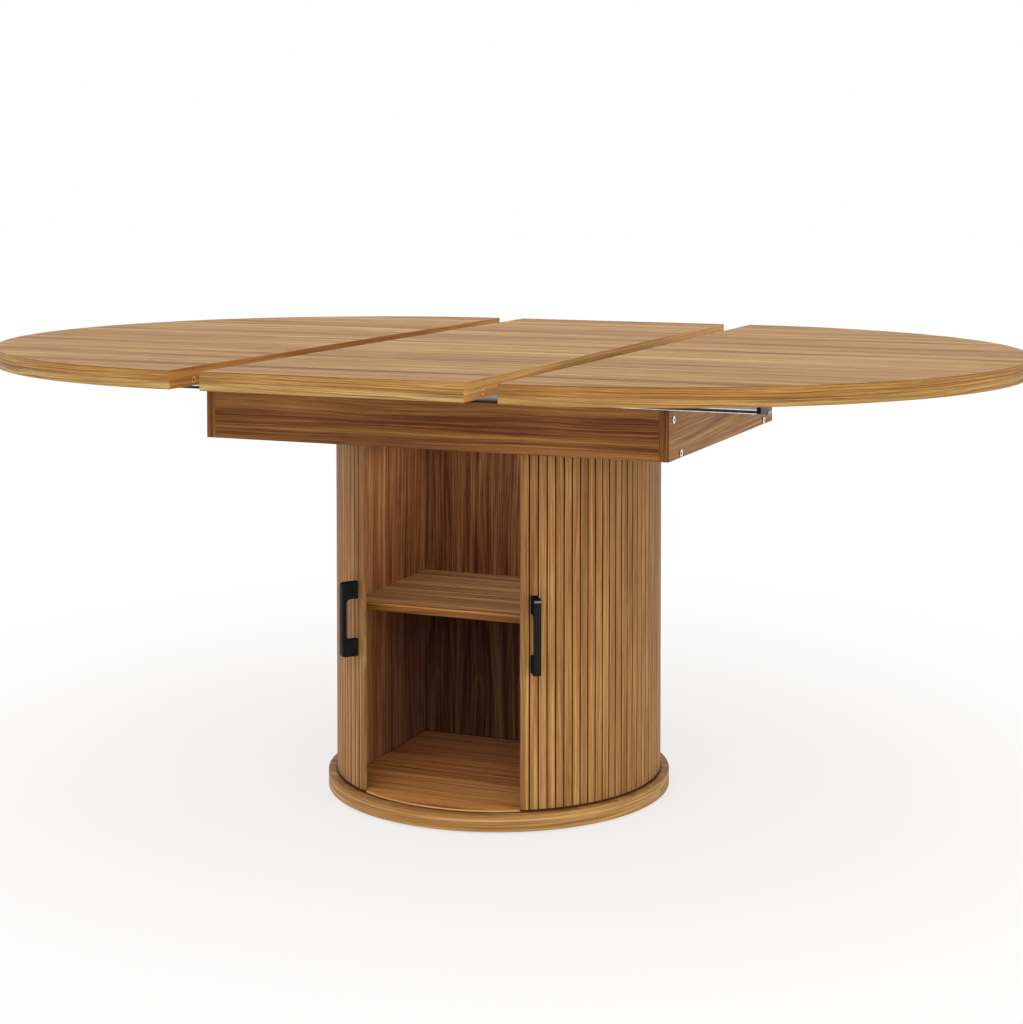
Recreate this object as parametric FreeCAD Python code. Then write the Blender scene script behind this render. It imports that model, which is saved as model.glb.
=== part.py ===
import FreeCAD, Part
import math
import os

# Round extending dining table on a cylindrical cabinet with two sliding tambour doors.
# Millimetres. +X is the direction in which the tops draw apart, -Y is the front with the door
# opening, +Z is up, and the origin is the centre of the footprint at floor level.

V = FreeCAD.Vector

# ---- driving dimensions: table top -------------------------------------------------
top_radius = 635.0            # each half of the top is a half disc of this radius
top_thickness = 29.0
leaf_width = 431.0            # the loose middle leaf, along X
leaf_gap = 52.0               # room each side of the leaf with the tops drawn right out
edge_round = 1.2              # rounding of the arrises of the tops and the leaf
band_thickness = 2.0          # edge band round the curved and short edges
dowel_pin_radius = 2.5        # brass register pins between the leaf and the tops
dowel_pin_reach = 12.0        # how far a pin stands out of its edge
dowel_pin_bury = 16.0         # how far it is let into the board
dowel_pin_tip = 1.5           # rounding of a pin's tip
socket_radius = 4.5           # brass sockets that take the pins
socket_length = 16.0
socket_floor = 1.0            # closed end of a socket
socket_drop = 20.0            # pins and sockets lie this far below the top surface
pin_edge_distance = 69.0      # from the end of a straight edge to the outer pins
pins_per_edge = 3

# ---- driving dimensions: apron box and slides ---------------------------------------
apron_length = 816.0
apron_margin = 14.0           # from the tambour's outer face to the front of the apron
apron_height = 80.0
board = 15.0                  # apron and cabinet boards
batten_width = 34.0
batten_height = 33.0
slide_height = 38.0           # from the top of the apron to the underside of the tops
runner_width = 20.0
runner_length = 297.5
runner_wall = 2.0
runner_lip = 8.0
runner_groove = 3.0           # rolled groove along the outer face of a runner
runner_groove_depth = 0.8
runner_groove_slope = 0.6     # height of the sloping sides of that groove
runner_tongue = 1.0           # thickness of the flange that runs on under the end cap
runner_turn_up = 6.0          # height of the turned-up end of that flange
runner_ride = 0.3             # running gap over the apron
end_cap_length = 18.5
stop_tab = 2.0                # thickness of the stop tab at the inner end of a runner
rail_foot_width = 26.0
rail_sheet = 1.5
rail_bar_width = 9.0
rail_bar_height = 24.0
rail_bar_inset = 3.0          # from the inner face of a runner's web to the rail bar
rail_arm = 3.0
slider_length = 20.0
slider_fit = 0.1
slider_width = 5.4
slider_end_margin = 3.0       # from the end of the rail to the outer sliders
leaf_bearer_width = 20.0
leaf_bearer_inset = 15.0      # from the leaf's edge to the end of its bearer
leaf_bearer_clearance = 2.0   # from the upright of the fixed rail to the bearer

# ---- driving dimensions: cabinet -----------------------------------------------------
glide_height = 3.0
glide_radius = 14.0
glide_circle = 240.0
glides = 6
base_margin = 15.0            # from the tambour's outer face to the edge of the base
base_thickness = 27.5
base_round = 2.0
floor_panel_thickness = 2.0
cabinet_height = 588.5        # from the top of the base to the underside of the apron
door_radius = 282.0           # outer face of the tambour
slat_thickness = 5.1
canvas_thickness = 0.6
canvas_inset = 3.0            # from the ends of the slats to the canvas
slats_per_door = 49
slat_gap = 1.3                # open joint between two slats
slat_chamfer = 0.5
opening_half_angle = 30.0     # degrees each side of the front, doors open
tail_gap_angle = 0.5          # degrees from the rear centre line to a door's tail
lead_strip_angle = 1.4        # lighter lipping along the meeting edge of a door
narrow_slat_angle = 1.6       # the narrow slat behind the lipping
door_end_gap = 1.5            # running gap above the floor panel and below the apron
groove_width = 3.2
groove_depth = 6.0
guide_pin_radius = 1.4
guide_pin_bury = 10.0
guide_pin_lift = 0.3          # running gap between a guide pin and the bottom of the groove
slats_per_guide_pin = 4
interior_half_width = 205.0
side_clearance = 5.4          # from the front corners of the side panels to the tambour
side_screen_clearance = 3.8   # their back corners lie this far inside the rear screen's circle
back_inset = 8.0              # from the back edges of the side panels to the face of the back
back_thickness = 5.0
back_housing = 5.0            # depth of the groove that takes the back panel
shelf_top = 303.0             # height of the shelf's upper face above the base
shelf_thickness = 13.0
shelf_clearance = 10.0        # from the front corners of the shelf to the tambour
shelf_pin_radius = 2.5
shelf_pin_bury = 8.0
shelf_pin_reach = 9.0
shelf_pin_inset = 50.0        # from the edges of the shelf to its pins
screen_thickness = 4.0
screen_clearance = 5.0        # between the rear screen and the tambour
screen_half_angle = 50.0
screen_groove = 1.4

# ---- driving dimensions: handles and fasteners ---------------------------------------
handle_length = 125.5
handle_width = 12.0
handle_reach = 30.0
handle_grip = 9.0
handle_foot = 29.0
handle_round = 6.0
handle_edge = 2.0
handle_centre = 289.5         # height of the middle of a handle above the base
handle_screw_radius = 2.0
handle_screw_head = 3.5
handle_screw_head_height = 1.8
handle_screw_bite = 14.0
box_screw_head = 6.0          # bright connector bolts in the end panels
box_screw_head_height = 1.6
box_screw_radius = 3.0
box_screw_length = 45.0
box_screw_key = 5.0           # hexagonal key recess, across its flats
box_screw_key_floor = 0.4     # what is left of the head under the recess
box_screw_high_shift = 11.0   # from the middle of a batten outwards to its bolts
box_screw_low_inset = 44.0    # from the inner face of the apron's front to the lower bolts
small_screw_head = 3.2
small_screw_head_height = 2.2
small_screw_radius = 1.8
small_screw_length = 18.0
screw_spacing = 15.0          # from the tip of an end bolt to the nearest rail screw
carcass_screw_head = 5.0
carcass_screw_head_height = 4.0
carcass_screw_radius = 2.5
carcass_screw_bite = 38.0
carcass_screw_inset = 35.0    # from the edges of a side panel to its outer screws
head_sink = 1.0               # countersunk heads lie this far below the surface
head_clearance = 0.5          # round a screw head that a part passes over
rail_screw_pitch = 180.0
runner_screw_pitch = 90.0
runner_screw_inset = 22.0     # from the ends of a runner to its outer screws
dowel_radius = 4.0
dowel_length = 30.0
dowel_bite = 20.0             # how much of a dowel is in the long board
dowel_inset = 14.0            # from the bottom board and from the top edge to the dowels
fit = 0.05                    # radial clearance of fixed pins, dowels and screws in their holes
panel_fit = 0.2               # clearance of a panel in its groove
face_gap = 0.3                # clearance between a part that moves and its neighbour
overcut = 1.0                 # cutting shapes run this far past the faces they cut
tiny = 1e-3                   # tolerance for picking edges by their place

# ---- levels and places worked out from the sizes above -------------------------------
base_top = glide_height + base_thickness
floor_top = base_top + floor_panel_thickness
apron_bottom_z = base_top + cabinet_height
apron_top_z = apron_bottom_z + apron_height
top_underside = apron_top_z + slide_height
table_height = top_underside + top_thickness
pin_level = table_height - socket_drop

leaf_half = leaf_width / 2
straight_edge = leaf_half + leaf_gap
apron_half_x = apron_length / 2
apron_half_y = door_radius + apron_margin
inside_x = apron_half_x - board
inside_y = apron_half_y - board
batten_centre_y = inside_y - batten_width / 2

slat_back_radius = door_radius - slat_thickness
door_inner_radius = slat_back_radius - canvas_thickness
guide_radius = door_radius - slat_thickness / 2
door_bottom = floor_top + door_end_gap
door_top = apron_bottom_z - door_end_gap
first_slat_angle = opening_half_angle + lead_strip_angle + narrow_slat_angle
tail_angle = 180.0 - tail_gap_angle
slat_pitch = (tail_angle - first_slat_angle) / slats_per_door
half_gap_angle = math.degrees(slat_gap / 2 / door_radius)
base_radius = door_radius + base_margin
floor_panel_radius = guide_radius - groove_width / 2      # its edge is the inner wall of the groove
screen_outer = door_inner_radius - screen_clearance
screen_inner = screen_outer - screen_thickness
handle_angle = first_slat_angle + slat_pitch / 2
handle_z = base_top + handle_centre
shelf_z = base_top + shelf_top


def depth_at(radius, x):
    # how far in front of or behind the centre a circle of that radius lies at x
    return math.sqrt(radius ** 2 - x ** 2)


outside_x = interior_half_width + board
side_front = -depth_at(door_inner_radius - side_clearance, outside_x)
side_back = depth_at(screen_inner - side_screen_clearance, outside_x)
shelf_front = -depth_at(door_inner_radius - shelf_clearance, interior_half_width)
interior_back = side_back - back_inset


# ---- helpers ---------------------------------------------------------------------------
def box(x0, x1, y0, y1, z0, z1):
    return Part.makeBox(x1 - x0, y1 - y0, z1 - z0, V(x0, y0, z0))


def post(radius, height, x, y, z):
    return Part.makeCylinder(radius, height, V(x, y, z))


def rod(radius, length, start, direction):
    return Part.makeCylinder(radius, length, start, direction)


def prism_z(points, z0, z1):
    # a polygon of (x, y) points carried from z0 to z1
    ring = [V(x, y, z0) for x, y in points]
    return Part.Face(Part.makePolygon(ring + ring[:1])).extrude(V(0, 0, z1 - z0))


def prism_x(points, x0, x1):
    # a polygon of (y, z) points carried from x0 to x1
    ring = [V(x0, y, z) for y, z in points]
    return Part.Face(Part.makePolygon(ring + ring[:1])).extrude(V(x1 - x0, 0, 0))


def polar(radius, angle, z):
    # angle in degrees from the front centre line (-Y), positive towards +X
    a = math.radians(angle)
    return V(radius * math.sin(a), -radius * math.cos(a), z)


def sector(inner, outer, a0, a1, z0, z1):
    # part of a ring between two angles from the front centre line
    middle = (a0 + a1) / 2
    edges = [
        Part.Arc(polar(outer, a0, z0), polar(outer, middle, z0), polar(outer, a1, z0)).toShape(),
        Part.makeLine(polar(outer, a1, z0), polar(inner, a1, z0)),
        Part.Arc(polar(inner, a1, z0), polar(inner, middle, z0), polar(inner, a0, z0)).toShape(),
        Part.makeLine(polar(inner, a0, z0), polar(outer, a0, z0)),
    ]
    return Part.Face(Part.Wire(edges)).extrude(V(0, 0, z1 - z0))


def ring(inner, outer, z0, z1):
    whole = Part.makeCylinder(outer, z1 - z0, V(0, 0, z0))
    return whole.cut(Part.makeCylinder(inner, z1 - z0, V(0, 0, z0)))


def turned(shape, angle):
    copy = shape.copy()
    copy.rotate(V(0, 0, 0), V(0, 0, 1), angle)
    return copy


def across_x(shape):
    return shape.mirror(V(0, 0, 0), V(1, 0, 0))


def across_y(shape):
    return shape.mirror(V(0, 0, 0), V(0, 1, 0))


def four_ways(shape):
    pair = [shape, across_x(shape)]
    return pair + [across_y(s) for s in pair]


def spread(first, last, pitch):
    # evenly spaced places from first to last, no further apart than pitch
    count = max(1, math.ceil(abs(last - first) / pitch))
    return [first + (last - first) * i / count for i in range(count + 1)]


def level_edges(shape, z):
    # the edges of a shape that lie wholly at one height
    return [
        e for e in shape.Edges
        if abs(e.BoundBox.ZMin - z) < tiny and abs(e.BoundBox.ZMax - z) < tiny
    ]


def save(name, shapes):
    group = shapes if isinstance(shapes, list) else [shapes]
    solids = [s for shape in group for s in shape.Solids]
    whole = solids[0] if len(solids) == 1 else Part.makeCompound(solids)
    whole.exportStep("parts/" + name + ".step")


# ---- fasteners -------------------------------------------------------------------------
def screw(tip, direction, radius, length, head_radius, head_height):
    # shank of the given length from under the head to the tip, head on the far side
    way = V(direction).normalize()
    under_head = tip - way * length
    shank = rod(radius, length, under_head, way)
    head = rod(head_radius, head_height, under_head - way * head_height, way)
    return shank.fuse(head).removeSplitter()


def small_screw(tip, direction):
    return screw(
        tip, direction, small_screw_radius, small_screw_length, small_screw_head, small_screw_head_height
    )


def box_screw_places():
    # (y, z): two upper bolts run into the ends of the battens, two lower ones into the bottom board
    upper = (batten_centre_y + box_screw_high_shift, apron_top_z - batten_height / 2)
    lower = (inside_y - box_screw_low_inset, apron_bottom_z + board / 2)
    return [(side * y, z) for y, z in (upper, lower) for side in (-1, 1)]


def hexagon(across_flats, y, z):
    corner = across_flats / 2 / math.cos(math.pi / 6)
    turns = [math.pi / 6 + i * math.pi / 3 for i in range(6)]
    return [(y + corner * math.cos(t), z + corner * math.sin(t)) for t in turns]


def box_screws_right():
    bolts = []
    for y, z in box_screw_places():
        bolt = screw(
            V(apron_half_x - box_screw_length, y, z), V(-1, 0, 0),
            box_screw_radius, box_screw_length, box_screw_head, box_screw_head_height,
        )
        key_x = apron_half_x + box_screw_key_floor
        key = prism_x(hexagon(box_screw_key, y, z), key_x, apron_half_x + box_screw_head_height + overcut)
        bolts.append(bolt.cut(key))
    return bolts


def box_screw_holes():
    holes = []
    for y, z in box_screw_places():
        start = V(apron_half_x - box_screw_length - fit, y, z)
        hole = rod(box_screw_radius + fit, box_screw_length + overcut, start, V(1, 0, 0))
        holes += [hole, across_x(hole)]
    return holes


def apron_dowel_places():
    z_places = [apron_bottom_z + board + dowel_inset, apron_top_z - dowel_inset]
    return [V(inside_x - dowel_bite, apron_half_y - board / 2, z) for z in z_places]


def apron_dowels():
    pins = []
    for place in apron_dowel_places():
        pins += four_ways(rod(dowel_radius, dowel_length, place, V(1, 0, 0)))
    return pins


def apron_dowel_holes():
    holes = []
    for place in apron_dowel_places():
        hole = rod(dowel_radius + fit, dowel_length + 2 * fit, place - V(fit, 0, 0), V(1, 0, 0))
        holes += four_ways(hole)
    return holes


def carcass_screw_places():
    x = interior_half_width + board / 2
    first = side_front + carcass_screw_inset
    last = side_back - carcass_screw_inset
    return [(x, y) for y in (first, (first + last) / 2, last)]


def carcass_screws():
    screws = []
    for x, y in carcass_screw_places():
        low = screw(
            V(x, y, floor_top + carcass_screw_bite),
            V(0, 0, 1),
            carcass_screw_radius,
            floor_top + carcass_screw_bite - glide_height - carcass_screw_head_height - head_sink,
            carcass_screw_head,
            carcass_screw_head_height,
        )
        high = screw(
            V(x, y, apron_bottom_z - carcass_screw_bite),
            V(0, 0, -1),
            carcass_screw_radius,
            board + carcass_screw_bite - carcass_screw_head_height - head_sink,
            carcass_screw_head,
            carcass_screw_head_height,
        )
        for one in (low, high):
            screws += [one, across_x(one)]
    return screws


def carcass_screw_holes():
    holes = []
    for x, y in carcass_screw_places():
        low_z = glide_height
        low = post(carcass_screw_radius + fit, floor_top + carcass_screw_bite + fit - low_z, x, y, low_z)
        low_sink = post(carcass_screw_head + fit, carcass_screw_head_height + head_sink, x, y, low_z)
        high_z = apron_bottom_z - carcass_screw_bite - fit
        high = post(carcass_screw_radius + fit, apron_bottom_z + board - high_z, x, y, high_z)
        sink_z = apron_bottom_z + board - carcass_screw_head_height - head_sink
        high_sink = post(carcass_screw_head + fit, carcass_screw_head_height + head_sink, x, y, sink_z)
        for one in (low, low_sink, high, high_sink):
            holes += [one, across_x(one)]
    return holes


# ---- base and cabinet --------------------------------------------------------------------
def guide_groove(z0, z1):
    return ring(guide_radius - groove_width / 2, guide_radius + groove_width / 2, z0, z1)


def base_disc():
    disc = Part.makeCylinder(base_radius, base_thickness, V(0, 0, glide_height))
    disc = disc.makeFillet(base_round, level_edges(disc, base_top))
    disc = disc.cut(guide_groove(base_top - groove_depth, base_top))
    return disc.cut(carcass_screw_holes())


def base_glides():
    feet = []
    for i in range(glides):
        place = polar(glide_circle, (i + 0.5) * 360.0 / glides, 0)
        foot = Part.makeCylinder(glide_radius, glide_height, place)
        feet.append(foot.makeChamfer(glide_height / 4, level_edges(foot, 0)))
    return feet


def floor_panel():
    disc = Part.makeCylinder(floor_panel_radius, floor_panel_thickness, V(0, 0, base_top))
    return disc.cut(carcass_screw_holes())


def shelf_pin_places():
    z = shelf_z - shelf_thickness - shelf_pin_radius
    x = interior_half_width - shelf_pin_reach
    return [V(x, y, z) for y in (shelf_front + shelf_pin_inset, interior_back - shelf_pin_inset)]


def shelf_pins():
    length = shelf_pin_reach + shelf_pin_bury
    pins = [rod(shelf_pin_radius, length, place, V(1, 0, 0)) for place in shelf_pin_places()]
    return pins + [across_x(p) for p in pins]


def cabinet_side():
    side = box(interior_half_width, outside_x, side_front, side_back, floor_top, apron_bottom_z)
    groove = box(
        interior_half_width,
        interior_half_width + back_housing,
        interior_back - panel_fit,
        interior_back + back_thickness + panel_fit,
        floor_top,
        apron_bottom_z,
    )
    holes = [
        rod(shelf_pin_radius + fit, shelf_pin_reach + shelf_pin_bury + fit, place, V(1, 0, 0))
        for place in shelf_pin_places()
    ]
    return side.cut([groove] + holes + carcass_screw_holes())


def cabinet_back():
    half = interior_half_width + back_housing - panel_fit
    return box(-half, half, interior_back, interior_back + back_thickness, floor_top, apron_bottom_z)


def shelf():
    half = interior_half_width - panel_fit
    return box(-half, half, shelf_front, interior_back - panel_fit, shelf_z - shelf_thickness, shelf_z)


def rear_screen():
    # fixed slatted skin inside the tambour, between the floor panel and the apron
    skin = sector(
        screen_inner, screen_outer,
        180 - screen_half_angle, 180 + screen_half_angle, floor_top, apron_bottom_z,
    )
    half = screen_groove / 2
    cutter = box(
        -half, half, screen_outer - screen_groove, screen_outer + overcut, floor_top, apron_bottom_z
    )
    steps = int((screen_half_angle - slat_pitch / 2) / slat_pitch)
    return skin.cut([turned(cutter, i * slat_pitch) for i in range(-steps, steps + 1)])


# ---- apron box ---------------------------------------------------------------------------
def apron_bottom():
    plate = box(-inside_x, inside_x, -inside_y, inside_y, apron_bottom_z, apron_bottom_z + board)
    groove = guide_groove(apron_bottom_z, apron_bottom_z + groove_depth)
    return plate.cut([groove] + carcass_screw_holes() + box_screw_holes())


def apron_long_board():
    plate = box(-inside_x, inside_x, -apron_half_y, -inside_y, apron_bottom_z, apron_top_z)
    groove = guide_groove(apron_bottom_z, apron_bottom_z + groove_depth)
    return plate.cut([groove] + apron_dowel_holes())


def apron_end_board():
    plate = box(inside_x, apron_half_x, -apron_half_y, apron_half_y, apron_bottom_z, apron_top_z)
    return plate.cut(apron_dowel_holes() + box_screw_holes())


def rail_screw_places():
    foot_y = runner_inner_y + face_gap + rail_foot_width / 2
    last = apron_half_x - box_screw_length - screw_spacing
    return [V(x, foot_y, apron_top_z + rail_sheet) for x in spread(-last, last, rail_screw_pitch)]


def batten():
    strip = box(
        -inside_x, inside_x, -inside_y, batten_width - inside_y, apron_top_z - batten_height, apron_top_z
    )
    holes = [
        rod(small_screw_radius + fit, small_screw_length + fit, place, V(0, 0, -1))
        for place in rail_screw_places()
    ]
    return strip.cut(box_screw_holes() + holes)


# ---- slides: a fixed rail on each batten, and a runner under each half top ------------------
# all of these are drawn for the front (-Y) and, where they move, for the right half (+X)
runner_front_y = -apron_half_y
runner_inner_y = runner_front_y + runner_width
runner_bottom = apron_top_z + runner_ride
runner_end = straight_edge + runner_length
runner_web_end = runner_end - end_cap_length
rail_bar_y0 = runner_front_y + runner_wall + rail_bar_inset
rail_bar_y1 = rail_bar_y0 + rail_bar_width
rail_bar_z0 = (runner_bottom + top_underside) / 2 - rail_bar_height / 2
rail_bar_z1 = rail_bar_z0 + rail_bar_height
slider_y0 = runner_front_y + runner_wall + slider_fit
slider_y1 = slider_y0 + slider_width


def fixed_rail():
    # foot on the batten, upright, arm, and the bar that the runner wraps
    foot_y0 = runner_inner_y + face_gap
    foot_y1 = foot_y0 + rail_foot_width
    arm_z0 = (rail_bar_z0 + rail_bar_z1 - rail_arm) / 2
    foot = box(-apron_half_x, apron_half_x, foot_y0, foot_y1, apron_top_z, apron_top_z + rail_sheet)
    upright = box(
        -apron_half_x, apron_half_x, foot_y0, foot_y0 + rail_sheet, apron_top_z, arm_z0 + rail_arm
    )
    arm = box(-apron_half_x, apron_half_x, rail_bar_y1, foot_y0 + rail_sheet, arm_z0, arm_z0 + rail_arm)
    bar = box(-apron_half_x, apron_half_x, rail_bar_y0, rail_bar_y1, rail_bar_z0, rail_bar_z1)
    rail = foot.fuse([upright, arm, bar]).removeSplitter()
    holes = [
        rod(small_screw_radius + fit, rail_sheet, place, V(0, 0, -1)) for place in rail_screw_places()
    ]
    return rail.cut(holes)


def slider_starts():
    inner = straight_edge + stop_tab + face_gap
    outer = apron_half_x - slider_end_margin - slider_length
    return [inner, outer]


def rail_sliders():
    # nylon blocks above and below the bar; the inner ones are also the stops of the runners
    z0 = runner_bottom + runner_wall + slider_fit
    z1 = top_underside - runner_wall - slider_fit
    blocks = []
    for x0 in slider_starts():
        x1 = x0 + slider_length
        blocks += four_ways(box(x0, x1, slider_y0, slider_y1, z0, rail_bar_z0))
        blocks += four_ways(box(x0, x1, slider_y0, slider_y1, rail_bar_z1, z1))
    return blocks


def rail_screws():
    screws = []
    for place in rail_screw_places():
        one = small_screw(place - V(0, 0, small_screw_length), V(0, 0, -1))
        screws += [one, across_y(one)]
    return screws


def leaf_bearer():
    y0 = runner_inner_y + face_gap + rail_sheet + leaf_bearer_clearance
    half = leaf_half - leaf_bearer_inset
    strip = box(-half, half, y0, y0 + leaf_bearer_width, apron_top_z + rail_sheet, top_underside)
    pockets = [
        rod(
            small_screw_head + head_clearance, small_screw_head_height + head_clearance, place, V(0, 0, 1)
        )
        for place in rail_screw_places()
    ]
    return strip.cut(pockets)


def runner_screw_places():
    y = runner_inner_y - runner_wall - small_screw_head - head_clearance
    xs = spread(
        straight_edge + runner_screw_inset, runner_web_end - runner_screw_inset, runner_screw_pitch
    )
    return [V(x, y, top_underside + small_screw_length - runner_wall) for x in xs]


def runner():
    # channel open towards the middle of the table, hung under the half top
    y0 = runner_front_y
    y1 = runner_inner_y
    z0 = runner_bottom
    z1 = top_underside
    w = runner_wall
    lip = w + runner_lip
    groove_y = y0 + runner_groove_depth
    groove_z0 = z0 + w / 2
    groove_z1 = groove_z0 + runner_groove
    profile = [
        (y0, z0), (y1, z0), (y1, z0 + lip), (y1 - w, z0 + lip), (y1 - w, z0 + w), (y0 + w, z0 + w),
        (y0 + w, z1 - w), (y1 - w, z1 - w), (y1 - w, z1 - lip), (y1, z1 - lip), (y1, z1), (y0, z1),
        (y0, groove_z1), (groove_y, groove_z1 - runner_groove_slope),
        (groove_y, groove_z0 + runner_groove_slope), (y0, groove_z0),
    ]
    channel = prism_x(profile, straight_edge, runner_web_end)
    tongue = box(runner_web_end, runner_end, y0, y1, z0, z0 + runner_tongue)
    turn_up = box(runner_end - runner_tongue, runner_end, y0, y1, z0, z0 + runner_turn_up)
    tab = box(
        straight_edge, straight_edge + stop_tab, slider_y0, slider_y1, rail_bar_z1 + face_gap, z1 - w
    )
    holes = [
        rod(small_screw_radius + fit, runner_wall, V(p.x, p.y, z1 - w), V(0, 0, 1))
        for p in runner_screw_places()
    ]
    return channel.fuse([tongue, turn_up, tab]).removeSplitter().cut(holes)


def runner_screws():
    return [small_screw(place, V(0, 0, 1)) for place in runner_screw_places()]


def end_cap():
    # plastic block that closes the end of a runner, with its outer upright edge rounded
    block = box(
        runner_web_end, runner_end - runner_tongue, runner_front_y, runner_inner_y,
        runner_bottom + runner_tongue, top_underside,
    )
    outer_edge = [
        e for e in block.Edges
        if e.BoundBox.ZLength > tiny
        and e.BoundBox.XMin > runner_end - runner_tongue - tiny
        and e.BoundBox.YMax < runner_front_y + tiny
    ]
    return block.makeFillet(runner_wall, outer_edge)


# ---- table top -----------------------------------------------------------------------------
def register_ys():
    outer = top_radius - pin_edge_distance
    return [-outer + 2 * outer * i / (pins_per_edge - 1) for i in range(pins_per_edge)]


def half_top_blank():
    disc = Part.makeCylinder(top_radius, top_thickness, V(straight_edge, 0, top_underside))
    reach = top_radius + overcut
    keep = box(straight_edge, straight_edge + reach, -reach, reach, top_underside, table_height)
    blank = disc.common(keep)
    rims = level_edges(blank, table_height) + level_edges(blank, top_underside)
    return blank.makeFillet(edge_round, rims)


def half_top_core():
    # the board inside the edge band
    inner = top_radius - band_thickness
    return post(inner, top_thickness + 2 * overcut, straight_edge, 0, top_underside - overcut)


def runner_screw_holes():
    start_z = top_underside - runner_wall
    holes = []
    for p in runner_screw_places():
        hole = rod(small_screw_radius + fit, small_screw_length + fit, V(p.x, p.y, start_z), V(0, 0, 1))
        holes += [hole, across_y(hole)]
    return holes


def socket_at(x, y, facing):
    # brass tube let into an edge; facing is the X direction that its mouth looks in
    start = V(x, y, pin_level)
    way = V(-facing, 0, 0)
    tube = rod(socket_radius, socket_length, start, way)
    return tube.cut(rod(dowel_pin_radius + fit, socket_length - socket_floor, start, way))


def socket_seat(x, y, facing):
    return rod(socket_radius + fit, socket_length + fit, V(x, y, pin_level), V(-facing, 0, 0))


def register_pin(x, y, facing):
    start = V(x - facing * dowel_pin_bury, y, pin_level)
    pin = rod(dowel_pin_radius, dowel_pin_bury + dowel_pin_reach, start, V(facing, 0, 0))
    tip_x = x + facing * dowel_pin_reach
    tip = [
        e for e in pin.Edges
        if abs(e.BoundBox.XMin - tip_x) < tiny and abs(e.BoundBox.XMax - tip_x) < tiny
    ]
    return pin.makeFillet(dowel_pin_tip, tip)


def register_pin_seat(x, y, facing):
    length = dowel_pin_bury + fit
    return rod(dowel_pin_radius + fit, length, V(x - facing * length, y, pin_level), V(facing, 0, 0))


def leaf_blank():
    slab = box(-leaf_half, leaf_half, -top_radius, top_radius, top_underside, table_height)
    rims = level_edges(slab, table_height) + level_edges(slab, top_underside)
    return slab.makeFillet(edge_round, rims)


def leaf_core():
    inner = top_radius - band_thickness
    half = leaf_half + overcut
    return box(-half, half, -inner, inner, top_underside - overcut, table_height + overcut)


# ---- tambour doors (drawn for the right door, at positive angles) ----------------------------
def slat(a0, a1, inner):
    # a flat slat between two angles, with its outer arrises bevelled
    middle = (a0 + a1) / 2
    half = door_radius * math.tan(math.radians((a1 - a0) / 2))
    c = slat_chamfer
    shoulder = half * (door_radius - c) / door_radius
    back = half * inner / door_radius
    points = [
        (c - half, -door_radius), (half - c, -door_radius), (shoulder, c - door_radius),
        (back, -inner), (-back, -inner), (-shoulder, c - door_radius),
    ]
    return turned(prism_z(points, door_bottom, door_top), middle)


def slat_angles():
    # the narrow slat behind the lipping, then the run of equal slats
    angles = [(opening_half_angle + lead_strip_angle, first_slat_angle - half_gap_angle)]
    for i in range(slats_per_door):
        a0 = first_slat_angle + i * slat_pitch
        angles.append((a0 + half_gap_angle, a0 + slat_pitch - half_gap_angle))
    return angles


def pinned_slats():
    # numbers, in the run of equal slats, of those that carry guide pins
    return [slats_per_guide_pin * i + 1 for i in range(slats_per_door // slats_per_guide_pin)]


def guide_pin_angles():
    return [first_slat_angle + (n + 0.5) * slat_pitch for n in pinned_slats()]


def guide_pins():
    low_z = base_top - groove_depth + guide_pin_lift
    high_z = apron_bottom_z + groove_depth - guide_pin_lift
    pins = []
    for angle in guide_pin_angles():
        low = polar(guide_radius, angle, low_z)
        high = polar(guide_radius, angle, door_top - guide_pin_bury)
        pins.append(Part.makeCylinder(guide_pin_radius, door_bottom + guide_pin_bury - low_z, low))
        pins.append(Part.makeCylinder(guide_pin_radius, high_z - (door_top - guide_pin_bury), high))
    return pins


def guide_pin_holes():
    holes = []
    depth = guide_pin_bury + fit
    for angle in guide_pin_angles():
        low = polar(guide_radius, angle, door_bottom)
        high = polar(guide_radius, angle, door_top - depth)
        holes.append(Part.makeCylinder(guide_pin_radius + fit, depth, low))
        holes.append(Part.makeCylinder(guide_pin_radius + fit, depth, high))
    return holes


def handle_screw_heights():
    reach = (handle_length - handle_foot) / 2
    return [handle_z - reach, handle_z + reach]


def handle_screws():
    # they pass out through the first slat from inside the canvas
    way = polar(1, handle_angle, 0)
    tip = door_radius + handle_screw_bite
    length = tip - door_inner_radius + fit
    return [
        screw(
            polar(tip, handle_angle, z), way,
            handle_screw_radius, length, handle_screw_head, handle_screw_head_height,
        )
        for z in handle_screw_heights()
    ]


def handle_screw_holes():
    way = polar(1, handle_angle, 0)
    start = door_inner_radius - overcut
    length = door_radius + handle_screw_bite + fit - start
    return [
        rod(handle_screw_radius + fit, length, polar(start, handle_angle, z), way)
        for z in handle_screw_heights()
    ]


def door_slats():
    run = [slat(a0, a1, slat_back_radius) for a0, a1 in slat_angles()]
    holes = guide_pin_holes()
    for i, n in enumerate(pinned_slats()):
        run[n + 1] = run[n + 1].cut(holes[2 * i:2 * i + 2])
    run[1] = run[1].cut(handle_screw_holes())
    return run


def lead_strip():
    return slat(opening_half_angle, opening_half_angle + lead_strip_angle, door_inner_radius)


def door_canvas():
    a0 = opening_half_angle + lead_strip_angle + half_gap_angle
    sheet = sector(
        door_inner_radius, slat_back_radius, a0, tail_angle - half_gap_angle,
        door_bottom + canvas_inset, door_top - canvas_inset,
    )
    return sheet.cut(handle_screw_holes())


def cross_edges(shape, limit):
    # the edges along X that lie wholly in front of a given Y
    return [e for e in shape.Edges if e.BoundBox.XLength > tiny and e.BoundBox.YMax < limit]


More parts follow.
